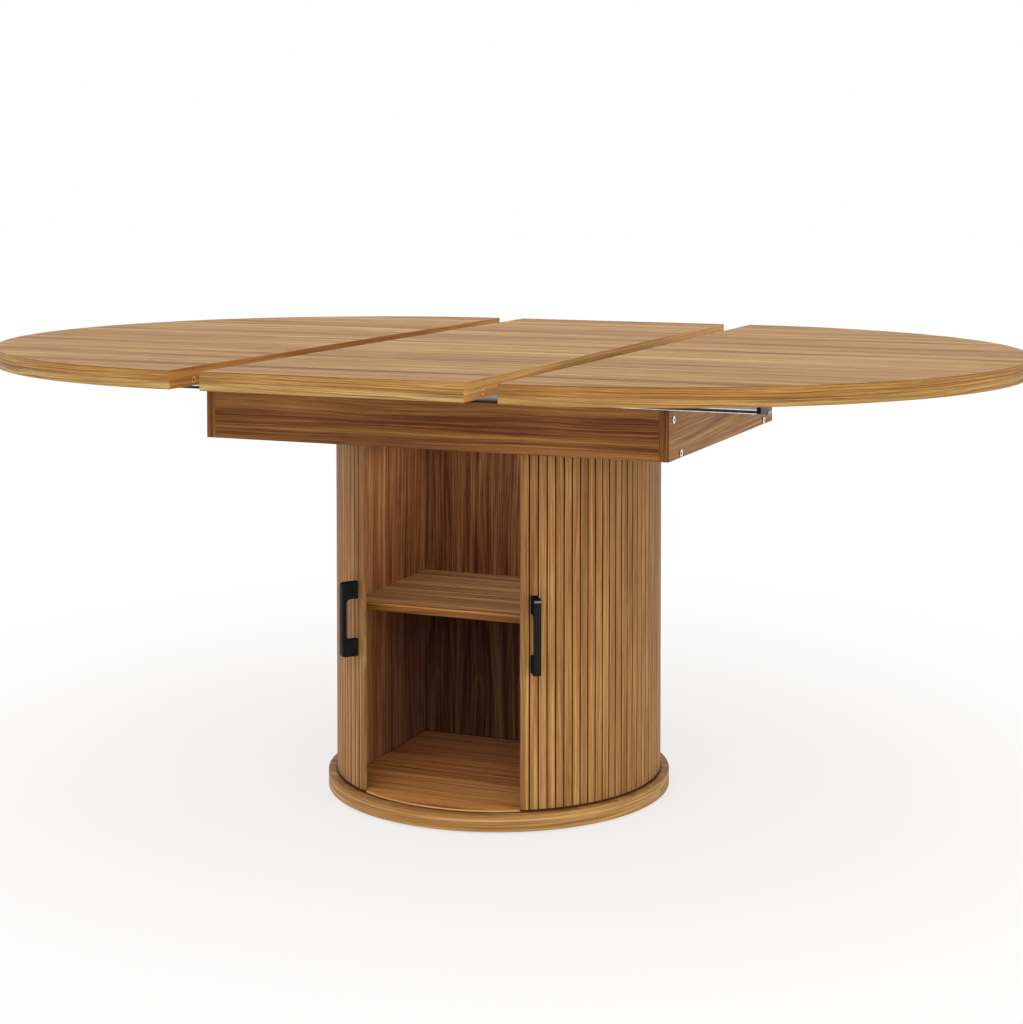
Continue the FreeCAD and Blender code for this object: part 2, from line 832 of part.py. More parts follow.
def handle():
    # a C: a flat grip on two tall feet, drawn at the front and turned to its slat
    y_back = -door_radius
    y_front = y_back - handle_reach
    y_grip = y_front + handle_grip
    z0 = handle_z - handle_length / 2
    z1 = handle_z + handle_length / 2
    half = handle_width / 2
    block = box(-half, half, y_front, y_back, z0, z1)
    block = block.makeFillet(handle_round, cross_edges(block, y_front + tiny))
    wide = half + overcut
    gap = box(-wide, wide, y_grip, y_back + overcut, z0 + handle_foot, z1 - handle_foot)
    gap = gap.makeFillet(handle_round, cross_edges(gap, y_grip + tiny))
    pull = block.cut(gap)
    arrises = [
        e for e in pull.Edges
        if abs(abs(e.BoundBox.Center.x) - half) < tiny and e.BoundBox.YMax < y_back - tiny
    ]
    pull = pull.makeFillet(handle_edge, arrises)
    return turned(pull, handle_angle).cut(handle_screw_holes())


# ---- the pieces, one file each ------------------------------------------------------------
os.makedirs("parts", exist_ok=True)

# pedestal: stands on the floor and carries everything
save("base_glides", base_glides())
save("base_disc", base_disc())
save("floor_panel", floor_panel())
save("cabinet_side_right", cabinet_side())
save("cabinet_side_left", across_x(cabinet_side()))
save("cabinet_back", cabinet_back())
save("shelf", shelf())
save("shelf_pins", shelf_pins())
save("rear_screen", rear_screen())
save("carcass_screws", carcass_screws())
save("apron_bottom", apron_bottom())
save("apron_front", apron_long_board())
save("apron_back", across_y(apron_long_board()))
save("apron_right", apron_end_board())
save("apron_left", across_x(apron_end_board()))
save("apron_dowels", apron_dowels())
right_bolts = box_screws_right()
save("apron_bolts", right_bolts + [across_x(s) for s in right_bolts])
save("batten_front", batten())
save("batten_back", across_y(batten()))
save("fixed_rail_front", fixed_rail())
save("fixed_rail_back", across_y(fixed_rail()))
save("rail_sliders", rail_sliders())
save("rail_screws", rail_screws())
save("leaf_bearers", [leaf_bearer(), across_y(leaf_bearer())])

# the two half tops, each with a pair of runners
pin_places = register_ys()
right_panel = half_top_blank().common(half_top_core()).cut(runner_screw_holes())
right_band = half_top_blank().cut(half_top_core())
sockets = [socket_seat(-straight_edge, y, 1) for y in pin_places]
pin_seats = [register_pin_seat(straight_edge, y, -1) for y in pin_places]
save("right_top_panel", right_panel.cut(pin_seats))
save("left_top_panel", across_x(right_panel).cut(sockets))
save("right_edge_band", right_band)
save("left_edge_band", across_x(right_band))
save("right_top_pins", [register_pin(straight_edge, y, -1) for y in pin_places])
save("left_top_sockets", [socket_at(-straight_edge, y, 1) for y in pin_places])
both_caps = [end_cap(), across_y(end_cap())]
both_screws = runner_screws() + [across_y(s) for s in runner_screws()]
save("right_runner_front", runner())
save("right_runner_back", across_y(runner()))
save("right_end_caps", both_caps)
save("right_runner_screws", both_screws)
save("left_runner_front", across_x(runner()))
save("left_runner_back", across_x(across_y(runner())))
save("left_end_caps", [across_x(s) for s in both_caps])
save("left_runner_screws", [across_x(s) for s in both_screws])

# the loose leaf
leaf_seats = [register_pin_seat(-leaf_half, y, -1) for y in pin_places]
leaf_seats += [socket_seat(leaf_half, y, 1) for y in pin_places]
save("leaf_panel", leaf_blank().common(leaf_core()).cut(leaf_seats))
save("leaf_edge_bands", leaf_blank().cut(leaf_core()))
save("leaf_pins", [register_pin(-leaf_half, y, -1) for y in pin_places])
save("leaf_sockets", [socket_at(leaf_half, y, 1) for y in pin_places])

# the two doors
door_pieces = {
    "door_slats": door_slats(),
    "lead_strip": [lead_strip()],
    "door_canvas": [door_canvas()],
    "handle": [handle()],
    "handle_screws": handle_screws(),
    "guide_pins": guide_pins(),
}
for name, shapes in door_pieces.items():
    save("right_" + name, shapes)
    save("left_" + name, [across_x(s) for s in shapes])
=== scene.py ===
import bmesh
import bpy
import math
import numpy as np
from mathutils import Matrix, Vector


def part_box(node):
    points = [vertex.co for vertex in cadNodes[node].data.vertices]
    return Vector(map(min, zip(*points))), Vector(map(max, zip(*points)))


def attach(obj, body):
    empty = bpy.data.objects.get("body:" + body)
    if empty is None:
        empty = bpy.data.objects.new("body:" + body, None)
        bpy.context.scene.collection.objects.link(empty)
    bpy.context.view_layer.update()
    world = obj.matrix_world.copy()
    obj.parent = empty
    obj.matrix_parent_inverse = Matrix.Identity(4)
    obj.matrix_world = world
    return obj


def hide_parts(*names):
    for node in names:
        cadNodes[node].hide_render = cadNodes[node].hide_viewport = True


# Looks of a round extending table on a tambour cabinet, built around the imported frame.
# Metres. +X is the way the tops draw apart, -Y is the front, +Z is up.

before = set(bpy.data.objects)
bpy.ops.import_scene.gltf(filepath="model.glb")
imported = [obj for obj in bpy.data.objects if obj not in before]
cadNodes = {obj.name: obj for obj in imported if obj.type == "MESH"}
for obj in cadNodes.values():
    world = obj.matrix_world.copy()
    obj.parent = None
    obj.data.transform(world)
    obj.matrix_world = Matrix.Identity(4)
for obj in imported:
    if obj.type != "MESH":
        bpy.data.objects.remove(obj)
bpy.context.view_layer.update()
print("frame loaded:", len(cadNodes), "nodes")


def unit(vector):
    return vector / np.linalg.norm(vector)


# Corner points (a, b, radius) become an outline: each corner with a radius is an arc that
# touches both of its sides, sampled every few degrees, and a corner without one stays sharp.
def roundedOutline(corners, stepDegrees):
    points = []
    places = np.array(corners, float)[:, :2]
    for here, last, following, corner in zip(places, np.roll(places, 1, 0), np.roll(places, -1, 0), corners):
        radius = corner[2]
        if radius <= 0:
            points.append(here[None])
            continue
        before, after = unit(last - here), unit(following - here)
        half = math.acos(np.clip(before @ after, -1, 1)) / 2
        bisector = unit(before + after)
        centre = here + bisector * radius / math.sin(half)
        start = here + before * radius / math.tan(half) - centre
        sweep = math.pi - 2 * half
        turn = np.sign(start[1] * bisector[0] - start[0] * bisector[1])
        steps = max(2, math.ceil(math.degrees(sweep) / stepDegrees))
        angles = turn * np.linspace(0, sweep, steps + 1)[:, None]
        points.append(centre + (start * np.cos(angles) + np.array([-start[1], start[0]]) * np.sin(angles)))
    return np.concatenate(points)


# Outward offset direction of each outline point: the mean of its two side normals, lengthened
# so that both sides move by the same distance.
def miterDirections(outline):
    ahead = np.roll(outline, -1, 0) - outline
    ahead /= np.linalg.norm(ahead, axis=1)[:, None]
    normals = np.stack([ahead[:, 1], -ahead[:, 0]], 1)
    area = np.sum(outline[:, 0] * np.roll(outline[:, 1], -1) - np.roll(outline[:, 0], -1) * outline[:, 1])
    normals *= np.sign(area)
    both = normals + np.roll(normals, 1, 0)
    return both / (1 + np.sum(normals * np.roll(normals, 1, 0), 1))[:, None]


# Running length along a closed outline, one value more than it has points.
def runningLength(outline):
    steps = np.linalg.norm(np.roll(outline, -1, 0) - outline, axis=1)
    return np.concatenate([[0], np.cumsum(steps)])


# Arrays spread over each other's rows and columns, then stacked as one more direction.
def stacked(*parts):
    return np.stack(np.broadcast_arrays(*parts), -1)


# A grid of points (rows x columns x 3), closed round its columns, becomes quads. Its grain map gives
# a place along and across the grain for each point, and once more for the first column at the end.
# keep is false where quads are left out.
def gridSheet(points, grain, kinds=0, tone=0.5, keep=True):
    rows, columns = points.shape[:2]
    i = np.arange(rows - 1)[:, None]
    j = np.arange(columns)[None, :]
    k = (j + 1) % columns
    quads = np.stack([i * columns + j, i * columns + k, (i + 1) * columns + k, (i + 1) * columns + j], -1)
    corners = np.stack([grain[i, j], grain[i, j + 1], grain[i + 1, j + 1], grain[i + 1, j]], 2)
    kinds, keep = [np.broadcast_to(values, (rows - 1, columns)) for values in (kinds, keep)]
    return {"points": points.reshape(-1, 3), "faces": quads[keep].tolist(),
            "grain": corners[keep].reshape(-1, 2), "kinds": kinds[keep], "tones": np.full(keep.sum(), tone)}


# One flat face through a ring of points, with its own grain map.
def capSheet(points, grain, kind=0, tone=0.5):
    return {"points": points, "faces": [list(range(len(points)))], "grain": grain,
            "kinds": np.array([kind]), "tones": np.array([tone])}


# Sheets carried to the other side of the table: side turns x over, across turns y over.
def mirrored(sheets, side, across=1):
    return [{**sheet, "points": sheet["points"] * np.array([side, across, 1])} for sheet in sheets]


meshLook = {"weld": 2e-6, "touch": 1e-5, "sharpDegrees": 32.0}


# Sheets are put together, their shared edges welded and their faces turned outwards.
def buildPiece(name, sheets, materials, body, replaced):
    offset = 0
    faces = []
    for sheet in sheets:
        faces += [[v + offset for v in face] for face in sheet["faces"]]
        offset += len(sheet["points"])
    points, grain, kinds, tones = [
        np.concatenate([sheet[part] for sheet in sheets]) for part in ("points", "grain", "kinds", "tones")]
    mesh = bpy.data.meshes.new(name)
    mesh.from_pydata(points.tolist(), [], faces)
    mesh.uv_layers.new(name="grain")
    mesh.uv_layers["grain"].data.foreach_set("uv", grain.ravel())
    mesh.polygons.foreach_set("material_index", kinds)
    mesh.attributes.new("tone", "FLOAT", "FACE")
    mesh.attributes["tone"].data.foreach_set("value", tones)
    welded = bmesh.new()
    welded.from_mesh(mesh)
    bmesh.ops.remove_doubles(welded, verts=welded.verts, dist=meshLook["weld"])
    bmesh.ops.recalc_face_normals(welded, faces=welded.faces)
    welded.to_mesh(mesh)
    welded.free()
    mesh.polygons.foreach_set("use_smooth", np.ones(len(mesh.polygons), bool))
    mesh.set_sharp_from_angle(angle=math.radians(meshLook["sharpDegrees"]))
    for material in materials:
        mesh.materials.append(material)
    piece = bpy.data.objects.new(name, mesh)
    bpy.context.scene.collection.objects.link(piece)
    flatten = piece.modifiers.new("flatten", "WEIGHTED_NORMAL")
    flatten.keep_sharp = True
    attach(piece, body)
    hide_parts(*replaced)


# A plate: an outline carried through its thickness, its arrises quarter circles. Rows run from the rim
# of the low face to that of the high one. place turns (outline a, outline b, level) into x, y, z. band
# is how far in the faces still have the side's material, grainTurn says that their grain runs along b,
# not a, and skip names the columns of the side's flat row that are left open.
def plateSheets(outline, low, high, rounding, place, sideKinds=0, faceKind=0, band=0.0,
                grainTurn=False, skip=(), arcSteps=3, shift=(0.0, 0.0)):
    quarter = np.linspace(0, math.pi / 2, arcSteps + 1)
    inset = rounding * (1 - np.sin(quarter))
    rise = rounding * (1 - np.cos(quarter))
    insets = np.concatenate([inset, inset[::-1]])
    levels = np.concatenate([low + rise, high - rise[::-1]])
    if band > rounding:
        insets = np.concatenate([[band], insets, [band]])
        levels = np.concatenate([[low], levels, [high]])
    flat = outline[None] - insets[:, None, None] * miterDirections(outline)[None]
    points = place(*np.broadcast_arrays(flat[..., 0], flat[..., 1], levels[:, None]))
    steps = np.concatenate([[0], np.cumsum(np.hypot(np.diff(insets), np.diff(levels)))])
    grain = stacked(runningLength(outline) + shift[0], steps[:, None] + shift[1])
    keep = np.ones((len(levels) - 1, len(outline)), bool)
    keep[len(levels) // 2 - 1, list(skip)] = False
    side = gridSheet(points, grain, sideKinds, keep=keep)
    faceGrain = (flat[..., ::-1] if grainTurn else flat) + np.array(shift)
    return [side] + [capSheet(points[row], faceGrain[row], faceKind) for row in (0, -1)]


# A profile of (radius, height) points turned about the z axis. kinds has the material of each row of
# faces. In flatRows the grain runs straight across, and in the other rows round the circumference.
def turnedSheets(profile, kinds, flatRows, segments=240):
    profile = np.array(profile)
    angles = np.linspace(0, 2 * math.pi, segments + 1)[None]
    radius, height = profile[:, :1], profile[:, 1:]
    x, y = radius * np.cos(angles), radius * np.sin(angles)
    steps = np.concatenate([[0], np.cumsum(np.linalg.norm(np.diff(profile, axis=0), axis=1))])
    around = stacked(angles * radius.max(), steps[:, None])
    straight = stacked(x, y)
    points = stacked(x, y, height)[:, :-1]
    sheets = []
    for row in range(len(profile) - 1):
        grain = straight if row in flatRows else around
        sheets.append(gridSheet(points[row:row + 2], grain[row:row + 2], kinds[row]))
    return sheets


# A closed outline in y and z carried along x, its two ends closed.
def extrudedSheets(outline, start, end, kinds):
    stations = np.array([[start], [end]])
    points = stacked(stations, outline[:, 0], outline[:, 1])
    grain = stacked(stations, runningLength(outline))
    return [gridSheet(points, grain, kinds)] + [capSheet(ring, outline) for ring in points]


def setInput(tree, node, key, value):  # a value, or a link where it comes from another node
    if isinstance(value, bpy.types.NodeSocket):
        tree.links.new(value, node.inputs[key])
    else:
        node.inputs[key].default_value = value


def addNode(tree, kind, inputs=None, **settings):
    node = tree.nodes.new("ShaderNode" + kind)
    for key, value in settings.items():
        setattr(node, key, value)
    for key, value in (inputs or {}).items():
        setInput(tree, node, key, value)
    return node


def calc(tree, operation, *values):
    return addNode(tree, "Math", dict(enumerate(values)), operation=operation).outputs[0]


def centred(tree, value, gain):  # a value that varies round one half varies round nothing instead
    return calc(tree, "MULTIPLY", calc(tree, "SUBTRACT", value, 0.5), gain)


def vectorCalc(tree, operation, *values):
    return addNode(tree, "VectorMath", dict(enumerate(values)), operation=operation).outputs[0]


def mixColour(tree, share, first, second, mode="MIX"):
    node = addNode(tree, "Mix", {0: share, 6: first, 7: second}, data_type="RGBA", blend_type=mode)
    return node.outputs[2]


def ramped(tree, value, low, high, fromLow=0.0, toHigh=1.0, smooth=True):
    node = addNode(tree, "MapRange", {0: value, 1: low, 2: high, 3: fromLow, 4: toHigh})
    node.interpolation_type = "SMOOTHSTEP" if smooth else "LINEAR"
    node.clamp = True
    return node.outputs[0]


def noiseValue(tree, place, stretch, detail=2.0, roughness=0.5):
    scaled = vectorCalc(tree, "MULTIPLY", place, stretch)
    values = {"Vector": scaled, "Scale": 1.0, "Detail": detail, "Roughness": roughness}
    return addNode(tree, "TexNoise", values).outputs["Fac"]


def newGroup(name, inputs, outputs):
    tree = bpy.data.node_groups.new(name, "ShaderNodeTree")
    for label, kind, value in inputs:
        socket = tree.interface.new_socket(name=label, in_out="INPUT", socket_type="NodeSocket" + kind)
        if value is not None:
            socket.default_value = value
    for label, kind in outputs:
        tree.interface.new_socket(name=label, in_out="OUTPUT", socket_type="NodeSocket" + kind)
    return tree, tree.nodes.new("NodeGroupInput").outputs, tree.nodes.new("NodeGroupOutput").inputs


woodNoises = {    # cycles in a metre along the grain and across it, then detail and roughness
    "sway": (1.1, 4.0),
    "waver": (7.0, 26.0),
    "bands": (0.5, 24.0),
    "lines": (1.8, 130.0, 2.0, 0.6),
    "fibres": (6.0, 480.0, 3.0, 0.7),
    "hue": (0.6, 44.0, 3.0, 0.6),
    "heart": (0.75, 0.0),
    "rings": (230.0, 0.0, 2.0, 0.6),
    "breaks": (1.6, 40.0, 1.0),
    "streaks": (0.28, 15.0, 2.0, 0.45),
    "veins": (0.33, 19.0, 2.0, 0.45),
    "pores": (26.0, 1300.0, 1.0),
    "wander": (3.0, 0.0),    # of the marks
}
woodLook = {
    "sway": 0.06,            # how far slow bends carry the grain aside
    "waver": 0.005,          # and quick ones
    "heartAside": (0.043, 0.085, 0.04),    # shift, spacing and middle of the heart lines
    "heartBelow": (0.16, -0.035),          # how far they wander under the cut, and from what level
    "bands": 0.95,
    "lines": 1.15,
    "fibres": 1.25,
    "rings": 1.3,
    "hueRange": (0.36, 0.64),
    "red": (1.03, 0.84, 0.80, 1.0),
    "golden": (0.97, 1.08, 0.98, 1.0),
    "breakRange": (0.35, 0.62),
    "contourShare": 0.55,
    "streaks": (0.53, 0.011, (1.22, 1.20, 1.12, 1.0)),    # level and width in the noise, tint
    "veins": (0.46, 0.010, (0.62, 0.46, 0.36, 1.0)),
    "poreRange": (0.58, 0.70),
    "poreShare": 0.5,
    "poreTint": (0.55, 0.40, 0.30, 1.0),
    "fibreHeight": 0.35,     # beside the pores' depth of one
    "poreGloss": 0.18,       # how much rougher the pores are
    "relief": 0.22,
    "reliefDepth": 0.0004,
}


def woodNoise(tree, kind, place):
    along, across, *rest = woodNoises[kind]
    return noiseValue(tree, place, (along, across, across), *rest)


# Straight-grained wood. Place is (along, across, depth) in metres. Broad bands, growth lines and
# fibres are noises drawn out along the grain, on a place that sways a little as the grain does.
# Arches are rings round a wandering heart line, which a flat cut turns into long cathedrals. Hue
# turns the colour between golden and red, and streaks and veins are thin contours, pale and dark.
def makeWoodGroup():
    look = woodLook
    inputs = [("Place", "Vector", None)]
    inputs += [(label, "Color", None) for label in ("Pale", "Middle", "Deep")]
    inputs += [(label, "Float", 1.0) for label in ("Bands", "Lines", "Fibres", "Streaks", "Veins")]
    inputs += [("Hue", "Float", 0.3), ("Arches", "Float", 0.0), ("Level", "Float", 0.0)]
    outputs = [("Color", "Color"), ("Pores", "Float"), ("Height", "Float")]
    tree, given, put = newGroup("woodGrain", inputs, outputs)

    def noise(kind, where):
        return woodNoise(tree, kind, where)

    along, across, depth = addNode(tree, "SeparateXYZ", {0: given["Place"]}).outputs
    sway, waver = [centred(tree, noise(kind, given["Place"]), look[kind]) for kind in ("sway", "waver")]
    bent = calc(tree, "ADD", across, calc(tree, "ADD", sway, waver))
    place = addNode(tree, "CombineXYZ", {0: along, 1: bent, 2: depth}).outputs[0]
    bands, lines, fibres, hue = [noise(kind, place) for kind in ("bands", "lines", "fibres", "hue")]
    shift, spacing, middle = look["heartAside"]
    side = calc(tree, "SUBTRACT", calc(tree, "PINGPONG", calc(tree, "ADD", bent, shift), spacing), middle)
    reach, level = look["heartBelow"]
    lift = calc(tree, "ADD", calc(tree, "MULTIPLY", noise("heart", given["Place"]), reach), level)
    squares = [calc(tree, "MULTIPLY", leg, leg) for leg in (side, lift)]
    ring = calc(tree, "SQRT", calc(tree, "ADD", *squares))
    ringPlace = addNode(tree, "CombineXYZ", {0: ring, 1: 0.0, 2: 0.0}).outputs[0]
    rings = noise("rings", ringPlace)
    tone = calc(tree, "ADD", 0.5, given["Level"])
    for source, kind, amount in ((bands, "bands", "Bands"), (lines, "lines", "Lines"),
                                 (fibres, "fibres", "Fibres"), (rings, "rings", "Arches")):
        part = centred(tree, source, look[kind])
        tone = calc(tree, "ADD", tone, calc(tree, "MULTIPLY", part, given[amount]))
    upper = mixColour(tree, ramped(tree, tone, 0.5, 1.0, smooth=False), given["Middle"], given["Pale"])
    colour = mixColour(tree, ramped(tree, tone, 0.5, 0.0, smooth=False), upper, given["Deep"])
    hueTint = mixColour(tree, ramped(tree, hue, *look["hueRange"]), look["red"], look["golden"])
    colour = mixColour(tree, given["Hue"], colour, mixColour(tree, 1.0, colour, hueTint, "MULTIPLY"))
    broken = ramped(tree, noise("breaks", place), *look["breakRange"])
    for kind, amount in (("streaks", "Streaks"), ("veins", "Veins")):
        level, width, tint = look[kind]
        ridge = calc(tree, "ABSOLUTE", calc(tree, "SUBTRACT", noise(kind, place), level))
        mask = calc(tree, "MULTIPLY", ramped(tree, ridge, 0.0, width, 1.0, 0.0), broken)
        share = calc(tree, "MULTIPLY", mask, calc(tree, "MULTIPLY", given[amount], look["contourShare"]))
        colour = mixColour(tree, share, colour, tint, "MULTIPLY")
    pores = ramped(tree, noise("pores", place), *look["poreRange"])
    poreShare = calc(tree, "MULTIPLY", calc(tree, "MULTIPLY", pores, given["Fibres"]), look["poreShare"])
    tree.links.new(mixColour(tree, poreShare, colour, look["poreTint"], "MULTIPLY"), put["Color"])
    tree.links.new(pores, put["Pores"])
    height = calc(tree, "SUBTRACT", calc(tree, "MULTIPLY", fibres, look["fibreHeight"]), pores)
    tree.links.new(height, put["Height"])
    return tree


speckleLook = {"broad": 0.06, "fine": 1.0, "range": (0.3, 0.7), "reliefDepth": 0.0002}


# Fine speckle for moulded, cast and coated surfaces: a value to vary gloss and a height for bump,
# which are noises of a broad and a fine size.
def makeSpeckleGroup():
    tree, given, put = newGroup("speckle", [("Place", "Vector", None), ("Size", "Float", 0.001)],
                                [("Value", "Float"), ("Height", "Float")])
    scale = calc(tree, "DIVIDE", 1.0, given["Size"])
    place = addNode(tree, "VectorMath", {0: given["Place"], 3: scale}, operation="SCALE").outputs[0]
    tree.links.new(noiseValue(tree, place, (speckleLook["broad"],) * 3), put["Value"])
    tree.links.new(noiseValue(tree, place, (speckleLook["fine"],) * 3, 2.0, 0.6), put["Height"])
    return tree


woodGroup = makeWoodGroup()
speckleGroup = makeSpeckleGroup()


def srgb(red, green, blue):  # a colour as seen on a screen, 0 to 255, to linear light
    value = np.array([red, green, blue]) / 255.0
    linear = np.where(value <= 0.04045, value / 12.92, ((value + 0.055) / 1.055) ** 2.4)
    return (*linear.tolist(), 1.0)


def newMaterial(name):
    material = bpy.data.materials.new(name)
    material.use_nodes = True
    return material, material.node_tree, material.node_tree.nodes["Principled BSDF"]


def dressShader(tree, shader, colour, roughness, specular, metallic, height, relief, depth):
    bump = addNode(tree, "Bump", {"Height": height, "Strength": relief, "Distance": depth})
    for key, value in (("Base Color", colour), ("Roughness", roughness), ("Specular IOR Level", specular),
                       ("Metallic", metallic), ("Normal", bump.outputs[0])):
        setInput(tree, shader, key, value)


# Place of the grain: the piece's own grain map, or its object coordinates with the grain along x or,
# after a quarter turn, along z. fine draws the grain closer together.
def grainPlace(tree, axis, shift, fine):
    if axis == "map":
        source = addNode(tree, "UVMap", uv_map="grain").outputs[0]
    else:
        source = addNode(tree, "TexCoord").outputs["Object"]
    turn = (0.0, math.pi / 2 if axis == "z" else 0.0, 0.0)
    values = {"Vector": source, "Location": shift, "Rotation": turn, "Scale": (1.0, fine, fine)}
    return source, addNode(tree, "Mapping", values).outputs[0]


# Painted shade: part of a piece made darker. Each ramp (direction, clear, full) grows from clear to full
# along x, y, z or r, the distance from the upright axis, and a painted shade's ramps are multiplied.
def paintedShade(colour, *ramps):
    return {"colour": (*colour, 1.0), "ramps": ramps}


def withPaintedShade(tree, colour, paintedShades):
    for part in paintedShades:
        share = 1.0
        here = addNode(tree, "TexCoord").outputs["Object"]
        levels = dict(zip("xyz", addNode(tree, "SeparateXYZ", {0: here}).outputs))
        flat = vectorCalc(tree, "MULTIPLY", here, (1.0, 1.0, 0.0))
        levels["r"] = addNode(tree, "VectorMath", {0: flat}, operation="LENGTH").outputs["Value"]
        for direction, clear, full in part["ramps"]:
            share = calc(tree, "MULTIPLY", share, ramped(tree, levels[direction], clear, full))
        colour = mixColour(tree, share, colour, part["colour"], "MULTIPLY")
    return colour


# A line along the grain, at one level of the grain map: share is how much of its colour it gets, and
# wander is how far it strays.
def mark(at, width, colour, share=1.0, wander=0.0):
    return {"at": at, "width": width, "colour": (*colour[:3], 1.0), "share": share, "wander": wander}


woodColours = {
    "Pale": srgb(188, 154, 96),
    "Middle": srgb(150, 107, 61),
    "Deep": srgb(98, 54, 26),
}


# One finish of wood. The tint multiplies the wood's colours, and the effects are the group's numbers
# that differ from its own: bands, lines, fibres, hue, streaks, veins, arches, level.
def woodMaterial(name, shift, tint=(1.0, 1.0, 1.0), axis="map", roughness=0.5, specular=0.12, fine=1.0,
                 toned=0.0, marks=(), paintedShades=(), **effects):
    material, tree, shader = newMaterial(name)
    source, place = grainPlace(tree, axis, shift, fine)
    values = {"Place": place}
    for label, base in woodColours.items():
        values[label] = (*[min(1.0, b * t) for b, t in zip(base, tint)], 1.0)
    for effect, amount in effects.items():
        values[effect.capitalize()] = amount
    wood = addNode(tree, "Group", values, node_tree=woodGroup)
    colour = wood.outputs["Color"]
    if toned:  # each slat a little lighter or darker than the next
        tone = addNode(tree, "Attribute", attribute_name="tone").outputs["Fac"]
        gain = ramped(tree, tone, 0.0, 1.0, 1.0 - toned, 1.0 + toned, smooth=False)
        grey = addNode(tree, "CombineColor", {0: gain, 1: gain, 2: gain}).outputs[0]
        colour = mixColour(tree, 1.0, colour, grey, "MULTIPLY")
    for line in marks:
        across = addNode(tree, "SeparateXYZ", {0: source}).outputs[1]
        wander = centred(tree, woodNoise(tree, "wander", place), line["wander"])
        gap = calc(tree, "ABSOLUTE", calc(tree, "SUBTRACT", across, calc(tree, "ADD", line["at"], wander)))
        share = calc(tree, "MULTIPLY", ramped(tree, gap, 0.0, line["width"], 1.0, 0.0), line["share"])
        colour = mixColour(tree, share, colour, line["colour"], "MULTIPLY")
    rough = roughness + woodLook["poreGloss"]
    gloss = ramped(tree, wood.outputs["Pores"], 0.0, 1.0, roughness, rough, smooth=False)
    dressShader(tree, shader, withPaintedShade(tree, colour, paintedShades), gloss, specular, 0.0, wood.outputs["Height"],
                woodLook["relief"], woodLook["reliefDepth"])
    return material


# Plain plastics, coatings and metals: one colour, varied a little in shade (mottle), gloss (spread)
# and relief by the speckle.
def plainMaterial(name, colour, roughness, metallic=0.0, grain=0.001, relief=0.1, spread=0.12, mottle=0.15,
                  specular=0.5, paintedShades=()):
    material, tree, shader = newMaterial(name)
    values = {"Place": addNode(tree, "TexCoord").outputs["Object"], "Size": grain}
    value, height = addNode(tree, "Group", values, node_tree=speckleGroup).outputs
    share = ramped(tree, value, *speckleLook["range"])
    dark, light = [tuple(min(1.0, c * gain) for c in colour) + (1.0,) for gain in (1 - mottle, 1 + mottle)]
    mixed = withPaintedShade(tree, mixColour(tree, share, dark, light), paintedShades)
    gloss = ramped(tree, value, *speckleLook["range"], roughness - spread / 2, roughness + spread / 2)
    dressShader(tree, shader, mixed, gloss, specular, metallic, height, relief, speckleLook["reliefDepth"])
    return material


doorLow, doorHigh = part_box("right_door_slats")
doorLook = {                 # the base and some finishes follow the doors too
    "radius": 0.282,
    "thickness": 0.0051,
    "backing": 0.0006,
    "opening": 30.0,         # degrees from the front centre line
    "lead": 1.4,             # degrees wide, as the next one
    "narrow": 1.6,
    "tail": 179.5,           # where the last slat ends
    "slats": 49,
    "gap": 0.0019,
    "arris": 0.0005,
    "leadArrises": (0.0014, 0.0002),
    "arrisStep": 30.0,       # degrees
    "low": doorLow.z,
    "high": doorHigh.z,
    "seed": 7,
}

topWood = woodMaterial(
    "topWood", (0.31, 0.0, 0.012), (1.19, 1.255, 1.22), bands=1.15, lines=1.45, fibres=1.1, streaks=1.6,
    veins=0.6, roughness=0.55, specular=0.14)
straightEdgeWood = woodMaterial(
    "straightEdgeWood", (1.7, 0.4, 0.05), (1.19, 1.01, 0.68), bands=0.5, fine=1.4, level=-0.02)
# The leaf's straight edges are a lighter copy of the straight edges' wood: painted light on them.
litLeafEdgeWood = woodMaterial(
    "litLeafEdgeWood", (1.9, 0.7, 0.15), (1.46, 1.52, 1.42), bands=0.35, lines=0.8, fine=1.4, level=-0.02)
# The base top has a painted contact shadow along the foot of the doors.
doorFootShadow = ("r", doorLook["radius"] + 0.0042, doorLook["radius"] + 0.0014)
baseTopWood = woodMaterial(
    "baseTopWood", (2.2, 0.1, 0.2), (1.15, 1.17, 1.25), paintedShades=[paintedShade((0.44, 0.34, 0.28), doorFootShadow)])
apronWood = woodMaterial(
    "apronWood", (3.4, 0.23, 0.31), (0.88, 0.78, 0.68), bands=0.8, lines=1.3, fibres=1.2, fine=1.5,
    level=-0.20)
apronEndWood = woodMaterial(
    "apronEndWood", (5.1, 0.61, 0.13), (1.0, 0.94, 0.84), bands=0.5, lines=1.15, fibres=1.4, arches=0.25,
    fine=1.3)


# The end boards' front ends: dark end wood with a paler line along the inner side.
def stripWood(name, tint, at):
    return woodMaterial(
        name, (5.6, 0.31, 0.43), tint, lines=1.1, level=-0.25, marks=[mark(at, 0.0021, (1.5, 1.55, 1.55))])


stripWoods = {"Left": stripWood("stripLeftWood", (1.05, 1.0, 0.84), 0.0146),
              "Right": stripWood("stripRightWood", (0.98, 0.90, 0.70), 0.0012)}
shelfWood = woodMaterial("shelfWood", (6.3, 0.17, 0.37), (1.03, 1.07, 1.27), lines=1.4, fibres=1.4)
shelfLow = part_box("shelf")[0].z
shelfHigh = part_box("shelf")[1].z
shelfArris = 0.0009
